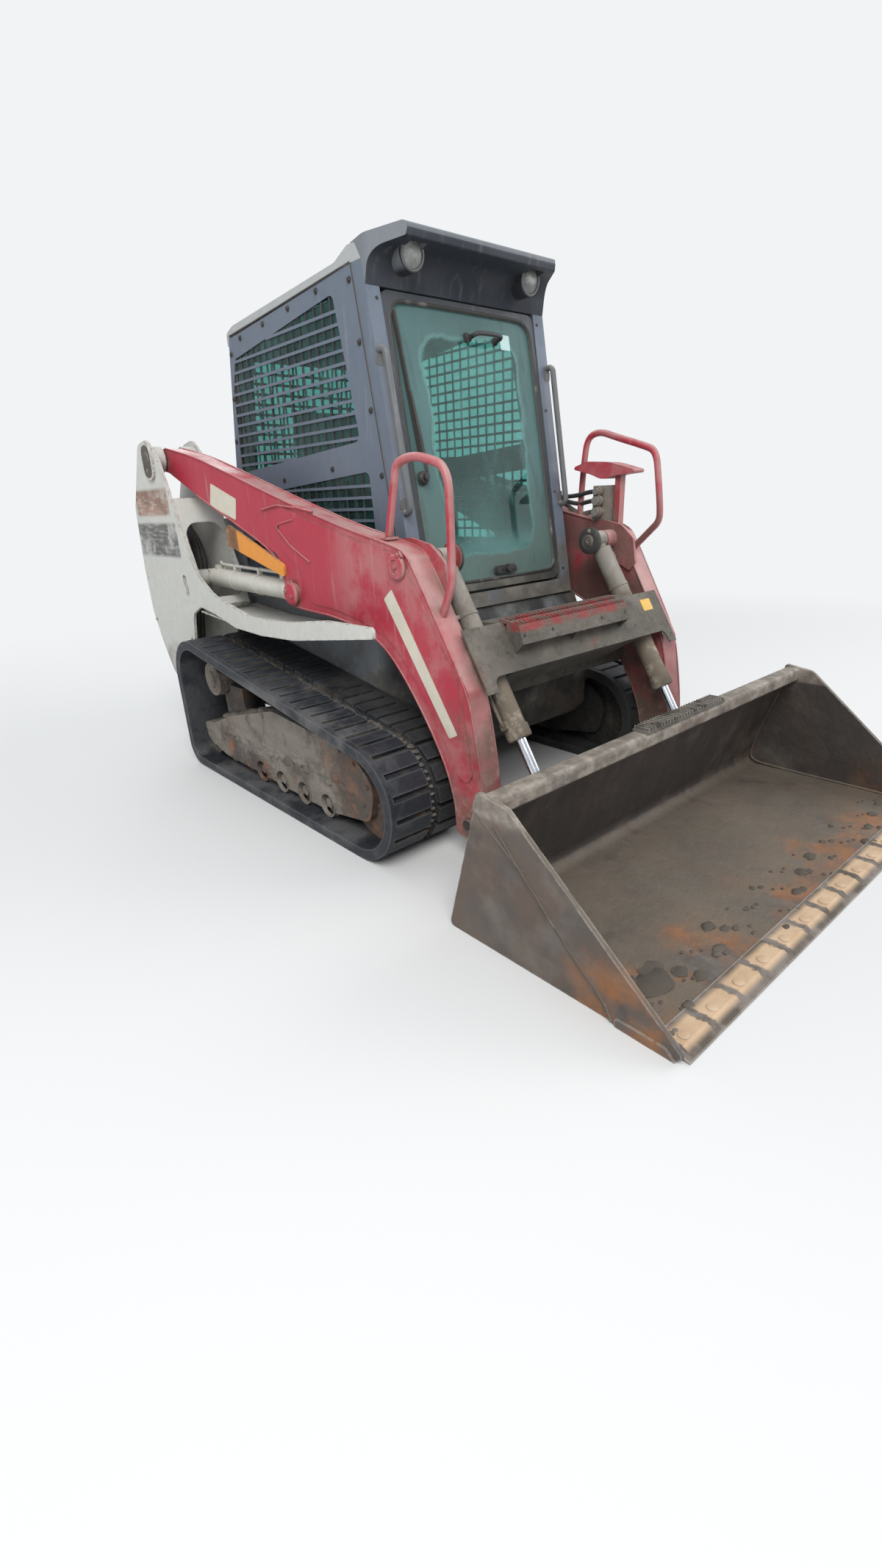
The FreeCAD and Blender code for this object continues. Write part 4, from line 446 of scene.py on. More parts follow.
SLATE = dict(gloss=0.4, fade=0.45, dust=0.35, mud=0.55, rust=0.05, chips=(0.05, 0.05, 0.05),
    dust_tint=(0.3, 0.31, 0.31))
GREY = dict(gloss=0.45, fade=0.5, dust=0.4, mud=0.5, mud_top=0.66, rust=0.4, chips=(0.17, 0.09, 0.05))
MATERIALS = {
    "red": painted("red_paint", (0.4, 0.018, 0.04), (0.5, 0.12, 0.135), gloss=0.36, fade=0.6, dust=0.85,
        mud=0.8, mud_top=0.6, rust=0.3, chips=(0.13, 0.055, 0.04), dust_tint=(0.46, 0.29, 0.265),
        dusty=((None, None, None), (None, 0.0, None)), inner=(0.19, 0.12, 0.1)),
    "rubber": make_rubber(),
    "undercarriage": make_mud_metal(),
    "steel": make_worn_steel("worn_steel"),
    "hitch": make_worn_steel("hitch_steel", streak=(1, 1, 0.5), top_mud=0.6, foot_rust=0.2),
    "edge": make_edge_steel(),
    "cross": make_cross_steel(),
    "chrome": make_chrome(),
    "glass": make_glass("tinted_glass"),
    "door_glass": make_glass("door_glass", ((-0.26, None, 1.12), (0.3, None, 1.98))),
    "vinyl": make_vinyl(),
    # The cab's lining colour is painted shade on its inner faces; its grime box is mud at the front's foot.
    "cab": painted("cab_paint", (0.115, 0.14, 0.18), (0.19, 0.215, 0.25), mud_top=1.0,
        inside_shade=(0.022, 0.024, 0.027), grime_and_shade=((None, None, None), (None, -0.05, 1.14), (0.105, 0.09, 0.07),
        (0.2, 0.175, 0.138)), **SLATE),
    "door": painted("door_frame", (0.03, 0.035, 0.042), (0.07, 0.078, 0.085), mud_top=1.05,
        grime_and_shade=((None, None, None), (None, None, 1.06), (0.07, 0.064, 0.05), (0.16, 0.145, 0.115)), **SLATE),
    "grey": painted("grey_paint", (0.55, 0.545, 0.5), (0.66, 0.645, 0.58), **GREY),
    "signed": painted("signed_grey", (0.55, 0.545, 0.5), (0.66, 0.645, 0.58),
        patches=(((None, 1.33, 1.34), (None, 1.8, 1.47),
        ((0.2, 0.095, 0.06), (0.36, 0.2, 0.14), (0.58, 0.54, 0.48))),
        ((None, 1.29, 1.13), (None, 1.86, 1.3), ((0.04, 0.038, 0.037), (0.12, 0.11, 0.1),
        (0.5, 0.49, 0.46)))), **GREY),
    # The hull's grime box is painted shade, near black at its front between the tracks.
    "hull": painted("hull_paint", (0.2, 0.225, 0.245), (0.29, 0.31, 0.32), gloss=0.5, fade=0.5, dust=0.6,
        mud=0.7, mud_top=0.85, rust=0.2, grime_and_shade=((None, None, None), (None, 0.0, None), GRIME_AND_SHADE, MUD_DARK)),
    "cream": painted("cream_paint", (0.6, 0.585, 0.51), (0.68, 0.66, 0.6), gloss=0.4, fade=0.4, dust=0.5,
        mud=0.5, mud_top=0.95, rust=0.15),
    "cylinder": painted("cylinder_grey", (0.2, 0.185, 0.16), (0.3, 0.26, 0.21), gloss=0.5, fade=0.6, dust=0.7,
        mud=0.9, mud_top=1.15, rust=0.3),
    "roof": painted("roof_paint", (0.36, 0.375, 0.37), (0.46, 0.46, 0.44), gloss=0.6, fade=0.5, dust=0.8,
        mud=0.3, mud_top=0.2, rust=0.1),
    # The visor's hollow colour is painted shade on its under and inner faces.
    "visor": painted("visor_plastic", (0.15, 0.165, 0.18), (0.22, 0.235, 0.245), gloss=0.5, fade=0.5,
        dust=0.2, mud=0.3, mud_top=0.3, rust=0.0, dust_tint=(0.3, 0.31, 0.3), hollow_shade=(0.022, 0.027, 0.036)),
    "lamp": plain_weathered("lamp_body", (0.02, 0.02, 0.022), (0.05, 0.05, 0.05), 0.35),
    "bezel": plain_weathered("lamp_bezel", (0.1, 0.105, 0.11), (0.2, 0.205, 0.21), 0.35, metallic=0.4),
    "reflector": plain_weathered("lamp_reflector", (0.62, 0.62, 0.6), (0.86, 0.86, 0.84), 0.08, dirt=0.1,
        metallic=1.0),
    "bulb": plain_weathered("lamp_bulb", (0.75, 0.74, 0.68), (0.95, 0.94, 0.88), 0.12, dirt=0.05),
    "lens": make_lens(),
    "bar": painted("bar_paint", (0.11, 0.115, 0.12), (0.19, 0.19, 0.185), gloss=0.4, fade=0.4, dust=0.5,
        mud=0.3, mud_top=0.4, rust=0.25),
    "orange": painted("lock_orange", (0.72, 0.27, 0.03), (0.76, 0.36, 0.08), gloss=0.42, fade=0.3, dust=0.25,
        mud=0.3, mud_top=0.5, rust=0.3, patches=(((None, 0.79, None), (None, 0.95, None),
        (GRIME_AND_SHADE, RUST, MUD_DARK)),)),
    "label": painted("blank_label", (0.6, 0.55, 0.44), (0.7, 0.66, 0.56), gloss=0.4, fade=0.4, dust=0.3,
        mud=0.4, mud_top=0.7, rust=0.1),
    "yellow": painted("blank_sign", (0.7, 0.4, 0.03), (0.74, 0.5, 0.12), gloss=0.4, fade=0.4, dust=0.4,
        mud=0.5, mud_top=0.85, rust=0.1),
    "iron": plain_weathered("engine_iron", (0.03, 0.03, 0.03), (0.09, 0.085, 0.08), 0.55, metallic=0.3),
    "fitting": plain_weathered("plated_fitting", (0.17, 0.16, 0.14), (0.34, 0.31, 0.26), 0.35, metallic=0.8),
    "bolt": plain_weathered("black_bolt", (0.018, 0.018, 0.02), (0.06, 0.055, 0.05), 0.45, dirt=0.2,
        metallic=0.4),
    "plastic": plain_weathered("console_plastic", (0.025, 0.025, 0.027), (0.06, 0.06, 0.06), 0.5),
    "hose": plain_weathered("hose_rubber", (0.012, 0.012, 0.013), (0.045, 0.043, 0.04), 0.55, dirt=0.5,
        grain=400),
    "clod": plain_weathered("dried_clods", (0.045, 0.037, 0.029), (0.13, 0.106, 0.082), 0.8, grain=60),
    "tag": painted("blank_tag", (0.4, 0.57, 0.55), (0.48, 0.64, 0.61), gloss=0.3, fade=0.4, dust=0.3, mud=0.0,
        mud_top=0.0, rust=0.0),
    "amber": plain_weathered("tail_lens", (0.3, 0.02, 0.015), (0.42, 0.05, 0.03), 0.2, dirt=0.3),
}

# Which finish each piece of the frame takes, by the start of its name.
FINISHES = (("track_frame", "undercarriage"), ("track", "rubber"), ("main_frame", "hull"),
    ("side_plate", "signed"), ("tower", "grey"), ("arm", "red"), ("handrail", "red"),
    ("cross_member", "cross"), ("boom_lock", "orange"), ("coupler_block", "cylinder"), ("engine_bay", "hull"),
    ("lift_barrel", "cream"), ("lift_rod", "chrome"), ("tilt_rod", "chrome"), ("tilt_barrel", "cylinder"),
    ("bucket", "steel"), ("cutting_edge", "edge"), ("hitch", "hitch"), ("cab_roof", "roof"), ("cab", "cab"),
    ("front_door", "door"), ("visor", "visor"), ("work_lamps", "lamp"), ("grab_bars", "bar"),
    ("side_glass", "glass"), ("rear_glass", "glass"), ("door_glass", "door_glass"), ("engine_block", "iron"),
    ("operator_seat", "vinyl"), ("consoles", "plastic"), ("rear_bumper", "hull"), ("rear_door", "hull"),
    ("engine_hood", "hull"))


def dress_frame():
    for name, piece in NODES.items():
        finish = next(finish for start, finish in FINISHES if name.startswith(start))
        piece.data.materials.clear()
        piece.data.materials.append(MATERIALS[finish])
        if finish in ("glass", "door_glass", "rubber"):
            continue
        bevel = piece.modifiers.new("soft edges", "BEVEL")
        bevel.width = 0.0025
        bevel.segments = 2
        bevel.limit_method = "ANGLE"
        bevel.angle_limit = math.radians(40)
        bevel.harden_normals = False


MM = 0.001

# Where the frame's own parts stand, in millimetres; the pairs are (y, z).
TRACK_MIDDLE = 775
SPROCKET = (1125, 500)
IDLER = (-343, 247)
TILT_PIN = (-372, 1145)

# The slot that each finish of the pieces below belongs to.
SLOTS = {"red": "red_paint", "grey": "grey_paint", "hull": "hull_paint", "cream": "cream_paint",
    "cylinder": "cylinder_grey", "steel": "worn_steel", "bezel": "lamp_body", "lens": "glass",
    "iron": "engine_iron", "bolt": "engine_iron", "fitting": "chrome_rod", "plastic": "console_plastic",
    "hose": "console_plastic", "vinyl": "seat_vinyl", "undercarriage": "undercarriage",
    "reflector": "chrome_rod", "bulb": "glass", "hitch": "worn_steel", "bar": "bar_paint"}


# What slab, plate, turned, bolt and lump have drawn, in millimetres, since the last piece.
drawn = bmesh.new()


def put(made, finish, body):
    bpy.context.scene.collection.objects.link(made)
    made.data.materials.append(MATERIALS[finish])
    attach(made, body)
    finish in SLOTS
    return made


def piece(name, finish, body="machine", place=None, sharp=38):
    """Make a piece of all that was drawn, moved by place where one is given, and clear the drawing."""
    if place:
        drawn.transform(place)
    drawn.transform(Matrix.Scale(MM, 4))
    bmesh.ops.recalc_face_normals(drawn, faces=drawn.faces)
    mesh = bpy.data.meshes.new(name)
    drawn.to_mesh(mesh)
    drawn.clear()
    mesh.shade_smooth()
    mesh.set_sharp_from_angle(angle=math.radians(sharp))
    return put(bpy.data.objects.new(name, mesh), finish, body)


def turned(profile, place, axis, sides=24, twist=0.0):
    """Draw a turned form: profile lists (radius, distance along the axis from place)."""
    along = Vector(axis).normalized()
    across = along.orthogonal().normalized()
    third = along.cross(across)
    rings = []
    for radius, reach in profile:
        middle = Vector(place) + along * reach
        turns = [twist + math.tau * i / sides for i in range(sides)] if radius else [0.0]
        rings.append([drawn.verts.new(middle + (across * math.cos(t) + third * math.sin(t)) * radius)
            for t in turns])
    for low, high in zip(rings, rings[1:]):
        if len(low) == len(high) == 1:
            continue
        for i in range(sides):
            j = (i + 1) % sides
            start = (low[i], low[j]) if len(low) > 1 else (low[0],)
            end = (high[j], high[i]) if len(high) > 1 else (high[0],)
            drawn.faces.new(start + end)


def bolt(place, axis, size, twist=0.0):
    """Draw a hexagon head on a washer; size is the head's radius."""
    washer = ((0, -1), (1.35 * size, -1), (1.35 * size, 0.16 * size), (1.2 * size, 0.22 * size),
        (0, 0.22 * size))
    head = ((0, 0), (size, 0), (size, 0.72 * size), (0.84 * size, 0.9 * size), (0, 0.92 * size))
    turned(washer, place, axis, 18)
    turned(head, place, axis, 6, twist)


def bolts(name, places, axis, size, finish, body="machine", place=None):
    for i, spot in enumerate(places):
        bolt(spot, axis, size, 0.7 * i)
    return piece(name, finish, body, place)


def rounded(corners, steps=5):
    """Closed outline with rounded corners (u, v, radius)."""
    found = []
    for i, corner in enumerate(corners):
        here = Vector(corner[:2])
        if len(corner) < 3 or not corner[2]:
            found.append(here)
            continue
        before = Vector(corners[i - 1][:2]) - here
        after = Vector(corners[(i + 1) % len(corners)][:2]) - here
        reach = min(corner[2], before.length / 2.05, after.length / 2.05)
        start, end = here + before.normalized() * reach, here + after.normalized() * reach
        for k in range(steps + 1):
            t = k / steps
            found.append(start * (1 - t) ** 2 + here * 2 * t * (1 - t) + end * t * t)
    return found


def slab(corners, axis, low, high, bevel=1.5, place=Matrix()):
    """Draw a plate of a closed outline between two levels of an axis, with its rims softened."""
    layers = []
    for level in (low, high):
        layer = []
        for u, v in rounded(corners):
            spot = {"x": (level, u, v), "y": (u, level, v), "z": (u, v, level)}[axis]
            layer.append(drawn.verts.new(place @ Vector(spot)))
        layers.append(layer)
    caps = [drawn.faces.new(layers[0]), drawn.faces.new(list(reversed(layers[1])))]
    count = len(layers[0])
    for i in range(count):
        j = (i + 1) % count
        drawn.faces.new((layers[0][i], layers[0][j], layers[1][j], layers[1][i]))
    if bevel:
        rims = list({edge for cap in caps for edge in cap.edges})
        bmesh.ops.bevel(drawn, geom=rims, offset=bevel, segments=2, affect="EDGES", clamp_overlap=True)


def plate(start, end, radius, axis, low, high, bevel=1.5, place=Matrix()):
    """Draw a slab whose outline is a rectangle between two corners."""
    (a, b), (c, d) = (start, end)
    slab([(*spot, radius) for spot in ((a, b), (c, b), (c, d), (a, d))], axis, low, high, bevel, place)


def tubes(name, routes, radius, finish, body="machine", place=None, order=3, closed=False):
    """Round bars or pipes along smooth routes of points in millimetres."""
    curve = bpy.data.curves.new(name, "CURVE")
    curve.dimensions = "3D"
    curve.bevel_depth = radius * MM
    curve.bevel_resolution = 3
    curve.resolution_u = 6
    curve.use_fill_caps = True
    for route in routes:
        spline = curve.splines.new("NURBS")
        spline.points.add(len(route) - 1)
        for point, spot in zip(spline.points, route):
            moved = place @ Vector(spot) if place else Vector(spot)
            point.co = (*moved * MM, 1)
        spline.use_cyclic_u = closed
        spline.use_endpoint_u = not closed
        spline.order_u = order
    return put(bpy.data.objects.new(name, curve), finish, body)


def chance(i, scale, row, side=0):
    """A steady draw from noise, about -1 to 1."""
    return noise.noise(Vector((i * scale, row, side)))


def lump(place, size, seed, squash=0.45):
    """Draw a lump of dried mud."""
    for vert in bmesh.ops.create_icosphere(drawn, subdivisions=2, radius=1.0)["verts"]:
        way = vert.co.copy()
        coarse = noise.noise(way * 1.3 + Vector((seed, 2 * seed, 0)))
        fine = noise.noise(way * 3.1 + Vector((0, seed, 5)))
        reach = Vector((way.x * size[0], way.y * size[1], way.z * size[2] * squash))
        vert.co = Vector(place) + reach * (1 + 0.55 * coarse + 0.25 * fine)


def front_y(z):
    """Outer face of the cab's leaning front at height z, in millimetres."""
    return -215 + (z - 925) * LEAN


def arm_frame(side):
    """From an arm's own frame (outwards from its middle plane, y, z) to the machine's."""
    toe = math.atan2(103, 2080)
    turn = Matrix.Rotation(-side * toe, 4, "Z")
    foot = Vector((side * 758, 1480, 0))
    return Matrix.Translation(foot) @ turn @ Matrix.Translation((0, -1480, 0)) @ Matrix.Diagonal(
        (side, 1, 1, 1))


def cylinder_frame(side, x, base, rod):
    """From a cylinder's own frame (across, along from its base pin, up from its axis) to the machine's."""
    base, rod = Vector((0, *base)), Vector((0, *rod))
    along = (rod - base).normalized()
    up = Vector((1, 0, 0)).cross(along)
    if up.z < 0:
        up = -up
    turn = Matrix(((1, 0, 0), along, up)).transposed().to_4x4()
    return Matrix.Translation((side * x, base.y, base.z)) @ turn


def make_cab_details():
    half = 505
    lean = math.atan(LEAN)
    for letter, side in SIDES:
        spots = [(side * half, front_y(z) + 92, z) for z in (960, 1210, 1460, 1700, 1940, 2150)]
        spots += [(side * half, y, 2172 - (y - 180) * 0.073) for y in (330, 560, 790, 1020)]
        spots += [(side * half, 1263 - max(0, z - 1400) * 0.2, z)
            for z in (2060, 1870, 1680, 1490, 1290, 1090)]
        spots += [(side * half, y, 925) for y in (150, 480, 810, 1130)]
        spots += [(side * half, y, 1503 - (y - 330) * 0.062) for y in (330, 760)]
        bolts("cab_bolts_" + letter, spots, (side, 0, 0), 9, "bolt")
        tubes("cab_seam_" + letter, [[(side * (half + 0.5), front_y(z) + 66, z) for z in (905, 1500, 2195)]],
            3.5, "hose")
        lip = [(side * (half + 0.5), y, z) for y, z in ((front_y(2200) + 70, 2203), (75, 2204), (600, 2169),
            (1080, 2138))]
        tubes("roof_seam_" + letter, [lip], 3, "hose")
    on_back = [(x, 1285 - (z - 1400) * 0.2 + 1, z) for x in (-415, 415) for z in (1440, 1640, 1840, 2060)]
    bolts("cab_back_bolts", on_back, (0, 1, 0.2), 9, "bolt")
    # The door's own frame: across, out from its face, up along it.
    door = Matrix.Translation((0, front_y(974) + 4, 974)) @ Matrix.Rotation(-lean, 4, "X")
    reach = 436.7 - 27
    rim = [(x, 3, up) for x, up in rounded(((-reach, 39, 70), (reach, 39, 70), (reach, 1129, 90),
        (-reach, 1129, 90)), 3)]
    tubes("door_gasket", [rim], 8, "hose", place=door, closed=True)
    glass = 9
    plate((-12, 1010), (12, 1046), 8, "y", glass, glass - 14)
    for x in (12, 172):
        turned(((0, 0), (16, 0), (16, 10), (9, 20), (9, 42), (0, 42)), (x, glass, 1028), (0, -1, 0), 16)
    piece("door_handle_feet", "bolt", place=door)
    tubes("door_handle", [[(12, glass - 36, 1028), (14, glass - 52, 1029), (40, glass - 56, 1034),
        (144, glass - 56, 1034), (170, glass - 52, 1029), (172, glass - 36, 1028)]], 9, "plastic", place=door)
    plate((212, 1002), (272, 1062), 4, "y", glass + 1, glass - 0.8, 0.3)
    piece("door_blank_label", "tag", place=door)
    turned(((0, 0), (26, 0), (28, 6), (24, 18), (14, 24), (14, 36), (0, 38)), (-361, glass, 478), (0, -1, 0),
        20)
    plate((-385, 452), (-337, 500), 10, "y", glass, glass - 8)
    piece("wiper_motor", "bolt", place=door)
    tubes("wiper_arms", [[(-361, glass - 32, 478), (-366, glass - 36, 620), (-376, glass - 26, 800)],
        [(-349, glass - 30, 480), (-356, glass - 34, 620), (-372, glass - 26, 800)]], 4, "bolt", place=door)
    slab(((-366, 560, 3), (-356, 560, 3), (-384, 1085, 3), (-394, 1085, 3)), "y", glass - 24, glass - 12, 1)
    slab(((-363, 556, 1), (-359, 556, 1), (-387, 1090, 1), (-391, 1090, 1)), "y", glass - 13, glass - 1, 0)
    piece("wiper_blade", "bolt", place=door)
    slab(((-20, 58, 10), (118, 58, 10), (110, 92, 12), (-10, 92, 12)), "y", glass, glass - 26, 4)
    turned(((0, 0), (17, 0), (19, 8), (17, 18), (0, 20)), (49, glass - 26, 76), (0, -1, 0), 20)
    slab(((64, 70, 5), (104, 66, 5), (104, 78, 5), (64, 84, 5)), "y", glass - 26, glass - 36, 3)
    piece("door_latch", "bolt", place=door)
    for letter, side in SIDES:
        spots = [(side * 459, -1, up) for up in (40, 400, 760, 1120)]
        bolts("door_post_bolts_" + letter, spots, (0, -1, 0), 7, "bolt", place=door)
        feet = [(side * 490, front_y(z) - 0.5, z) for z in (1868, 1348)]
        for x, y, z in feet:
            plate((x - 17, z - 22), (x + 17, z + 22), 8, "y", y + 7, y - 4)
        piece("grab_bar_feet_" + letter, "bar")


def make_lamps():
    down = Vector((0, -1, -0.12)).normalized()
    for letter, side in SIDES:
        middle = Vector((side * 331, -76, 2217))
        turned(((44, -6), (44.6, 2), (56, 4), (57, 9), (54, 13), (49, 14), (47, 9), (46, -4)), middle, down,
            48)
        turned(((0, -30), (30, -30), (44, -14), (44, -6)), middle, down, 48)
        made = piece("lamp_bezel_" + letter, "bezel")
        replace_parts(made, "work_lamps")
        turned(((46, 5), (42, -6), (30, -18), (10, -24), (0, -24)), middle, down, 48)
        piece("lamp_reflector_" + letter, "reflector")
        for across in (-16, 16):
            spot = middle + Vector((across, 0, 0))
            turned(((11, -22), (12, -8), (10, -1), (5, 3), (0, 4)), spot, down, 18)
        piece("lamp_bulbs_" + letter, "bulb")
        turned(((47, 6), (44, 9), (24, 13), (0, 14), (0, 11), (24, 10), (44, 7), (47, 6)), middle, down, 48)
        piece("lamp_lens_" + letter, "lens")


def cushion(name, size, place, grooves, crown=0.16):
    """A crowned pad whose sides pull in between its corners, with sewn channels across it."""
    wide, deep, thick = size
    count = 28
    for top in (1, -1):
        rows = []
        for i in range(count + 1):
            row = []
            for j in range(count + 1):
                u, v = 2 * i / count - 1, 2 * j / count - 1
                pull = 1 - 0.045 * (1 - v * v) * abs(u) ** 3
                pull_v = 1 - 0.045 * (1 - u * u) * abs(v) ** 3
                rim = (1 - abs(u) ** 7) * (1 - abs(v) ** 7)
                level = 0.5 * rim ** 0.42 * (1 + crown * (1 - u * u) * (1 - v * v))
                if top > 0:
                    for groove in grooves:
                        level -= 0.1 * math.exp(-((v - groove) / 0.035) ** 2) * (1 - u ** 6)
                    level -= 0.07 * math.exp(-((abs(u) - 0.62) / 0.04) ** 2) * (1 - v ** 6)
                row.append(drawn.verts.new((u * wide / 2 * pull, v * deep / 2 * pull_v, top * level * thick)))
            rows.append(row)
        for i in range(count):
            for j in range(count):
                drawn.faces.new((rows[i][j], rows[i + 1][j], rows[i + 1][j + 1], rows[i][j + 1]))
    bmesh.ops.remove_doubles(drawn, verts=drawn.verts, dist=0.6)
    made = piece(name, "vinyl", place=place, sharp=60)
    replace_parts(made, "operator_seat")
    return made


def make_inside():
    """Operator's seat with its base, armrests and the two hand levers on the consoles."""
    flat = Matrix.Translation((0, 800, 1240)) @ Matrix.Rotation(math.radians(-3), 4, "X")
    cushion("seat_cushion", (470, 440, 120), flat, (-0.45, 0.1, 0.6))
    upright = Matrix.Translation((0, 1060, 1560)) @ Matrix.Rotation(math.radians(83), 4, "X")
    cushion("seat_back", (450, 540, 100), upright @ Matrix.Rotation(math.pi, 4, "Y")
        @ Matrix.Rotation(math.pi, 4, "Z"), (-0.5, 0.0, 0.5))
    plate((-175, 645), (175, 995), 20, "z", 902, 930, 4)
    for i in range(6):
        grow = 8 * (i % 2)
        plate((-150 - grow, 670 - grow), (150 + grow, 970 + grow), 30, "z", 930 + 38 * i, 968 + 38 * i, 6)
    plate((-200, 620), (200, 1010), 20, "z", 1158, 1186, 6)
    base = piece("seat_base", "plastic")
    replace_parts(base, "operator_seat")
    for letter, side in SIDES:
        slab(((720, 1408, 14), (1000, 1408, 14), (1000, 1444, 16), (720, 1444, 16)), "x", side * 245,
            side * 300, 8)
        plate((985, 1330), (1030, 1440), 6, "x", side * 250, side * 262, 3)
        piece("armrest_" + letter, "vinyl")
        spot = (side * 342, 580, 1330)
        turned(((52, 0), (50, 8), (38, 16), (36, 22), (26, 30), (24, 36), (14, 46), (0, 48)), spot, (0, 0, 1),
            24)
        turned(((7, 30), (7, 110), (18, 130), (24, 175), (23, 215), (14, 232), (0, 236)), spot, (0, -0.12, 1),
            20)
        piece("hand_lever_" + letter, "plastic")
    plate((-395, 901), (395, 909), 0, "y", -120, 600, 2)
    for i in range(9):
        plate((-380, 909), (380, 913), 0, "y", -90 + 70 * i, -64 + 70 * i, 1)
    piece("floor_mat", "hose")


def make_arm_details():
    for letter, side in SIDES:
        place = arm_frame(side)
        slab(((420, 1372, 40), (174, 1303, 80), (-92, 1236, 80), (-325, 1190, 60), (-400, 1150, 50),
            (-668, 722, 60), (-728, 372, 60), (-700, 345, 30), (-658, 345, 30), (-575, 505, 70),
            (-440, 705, 70), (-300, 855, 80), (-125, 912, 80), (60, 948, 80), (250, 958, 60), (262, 1060, 60),
            (330, 1120, 60), (420, 1180, 60)), "x", 49, 54, 2.5)
        piece("arm_relief_" + letter, "red", "boom", place)
        turned(((50, 0), (52, 4), (52, 12), (44, 20), (40, 22), (0, 23)), (60, 363, 995), (1, 0, 0), 36)
        turned(((46, 0), (48, 3), (48, 10), (42, 17), (28, 19), (26, 15), (0, 15)), (52, -368, 1135),
            (1, 0, 0), 36)
        slab(((-410, 1170, 10), (-386, 1196, 10), (-352, 1176, 10), (-372, 1148, 10)), "x", 52, 66, 3)
        slab(((352, 1010, 8), (374, 1010, 8), (374, 1052, 10), (352, 1052, 10)), "x", 60, 76, 3)
        piece("arm_bosses_" + letter, "red", "boom", place)
        turned(((60, -10), (60, 2), (55, 6), (36, 7), (32, 4), (0, 4)), (side * 438, *TILT_PIN),
            (-side, 0, 0), 40)
        piece("tilt_pin_cap_" + letter, "iron", "boom")
        turned(((27, 2), (27, 10), (22, 13), (8, 13), (7, 10), (0, 10)), (side * 438, *TILT_PIN),
            (-side, 0, 0), 28)
        bolt((side * 432, -372, 1189), (-side, 0, 0), 7)
        piece("tilt_pin_end_" + letter, "hitch", "boom")
        ridge = [[(54, y, z) for y, z in line] for line in (
            ((300, 1306), (433, 1286), (438, 1270), (347, 1198), (207, 1132)),
            ((547, 1350), (420, 1366), (260, 1352), (149, 1335)))]
        tubes("arm_ridges_" + letter, ridge, 5, "red", "boom", place, order=2)
        spots = [(83, 363 + 24 * math.cos(t), 995 + 24 * math.sin(t)) for t in (0.5, 3.64)]
        spots += [(76, 363, 1040), (66, -385, 1178), (67, -368, 1135)]
        bolts("arm_bolts_" + letter, spots, (1, 0, 0), 9, "red", "boom", place)
        line = [(50, y, z) for y, z in ((1430, 1662), (1162, 1612), (900, 1538), (530, 1430), (174, 1329),
            (-92, 1262), (-330, 1214), (-400, 1190), (-440, 1150), (-570, 935), (-705, 712), (-740, 560),
            (-772, 370), (-782, 200))]
        rows = [[(x, y, z) for _, y, z in line] for x in (-50, 50)]
        tubes("arm_top_welds_" + letter, rows, 4.5, "red", "boom", place)
        under = ((1166, 1430), (800, 1290), (473, 1159), (432, 1050), (420, 942), (305, 927), (78, 916),
            (-115, 881), (-262, 822), (-400, 671), (-530, 481), (-612, 311), (-630, 200))
        tubes("arm_under_welds_" + letter, [[(x, y, z) for y, z in under] for x in (-50, 50)], 4.5, "red",
            "boom", place)
        if side < 0:
            for y, z, turn in ((-262, 1227, -10), (-548, 962, 57)):
                foot = Matrix.Translation((2, y, z)) @ Matrix.Rotation(math.radians(turn), 4, "X")
                plate((-34, -30), (34, 30), 8, "z", -4, 6, 2, foot)
            piece("handrail_feet_" + letter, "red", "boom", place)
            hoop = [(2, y, z) for y, z in ((-262, 1205), (-276, 1260), (-322, 1435), (-334, 1482),
                (-372, 1500), (-440, 1508), (-520, 1490), (-570, 1474), (-597, 1434), (-604, 1380),
                (-604, 1160), (-604, 1095), (-590, 1050), (-548, 966))]
            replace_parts(tubes("handrail_hoop_r", [hoop], 15.5, "red", "boom", place), "handrail_r")
        else:
            hoop = [(2, y, z) for y, z in ((-125, 1226), (-130, 1340), (-142, 1500), (-158, 1606),
                (-235, 1626), (-330, 1594), (-492, 1546), (-562, 1520), (-584, 1400), (-604, 1280),
                (-606, 1220), (-560, 1180), (-440, 1072))]
            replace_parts(tubes("handrail_hoop_l", [hoop], 15.5, "red", "boom", place), "handrail_l")
            slab(((-132, 1462, 4), (-132, 1474, 4), (-205, 1496, 20), (-345, 1484, 30), (-476, 1448, 10),
                (-474, 1434, 10), (-384, 1428, 30), (-300, 1410, 30), (-236, 1436, 20)), "x", 611, 703, 5)
            plate((-390, 1150), (-360, 1440), 3, "x", 637, 677, 4)
            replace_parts(piece("coupler_cover", "red", "boom"), "handrail_l")
    right = arm_frame(-1)
    slab(((997, 1478, 6), (1034, 1377, 6), (800, 1308, 6), (770, 1401, 6)), "x", 49.5, 51.5, 0.5)
    piece("arm_blank_sign", "label", "boom", right)
    slab(((-324, 1052, 6), (-275, 1012, 6), (-609, 507, 6), (-654, 530, 6)), "x", 53, 55.2, 0.5)
    piece("arm_blank_strip", "label", "boom", right)
    left = arm_frame(1)
    routes = []
    for i, z in enumerate((1360, 1318, 1268)):
        routes.append([(-14 + 14 * i, -258, z), (-14 + 14 * i, -200, z), (-20 + 16 * i, -110, z - 20),
            (-22 + 18 * i, 60, 1340 + 6 * i), (-22 + 18 * i, 300, 1396), (-22 + 18 * i, 560, 1466)])
    tubes("coupler_hoses", routes, 11, "hose", "boom", left)
    for z, radius in ((1360, 15), (1318, 20), (1268, 20)):
        turned(((radius + 3, 60), (radius + 5, 64), (radius + 5, 78), (radius - 2, 82), (radius - 2, 96),
            (radius - 7, 97), (radius - 7, 84), (0, 84)), (0, -300, z), (-1, 0, 0), 24)
        turned(((14, -2), (18, 0), (18, 14), (13, 16), (13, 34), (0, 34)), (-12, -258, z), (0, 1, 0), 6)
    piece("coupler_fittings", "fitting", "boom", left)


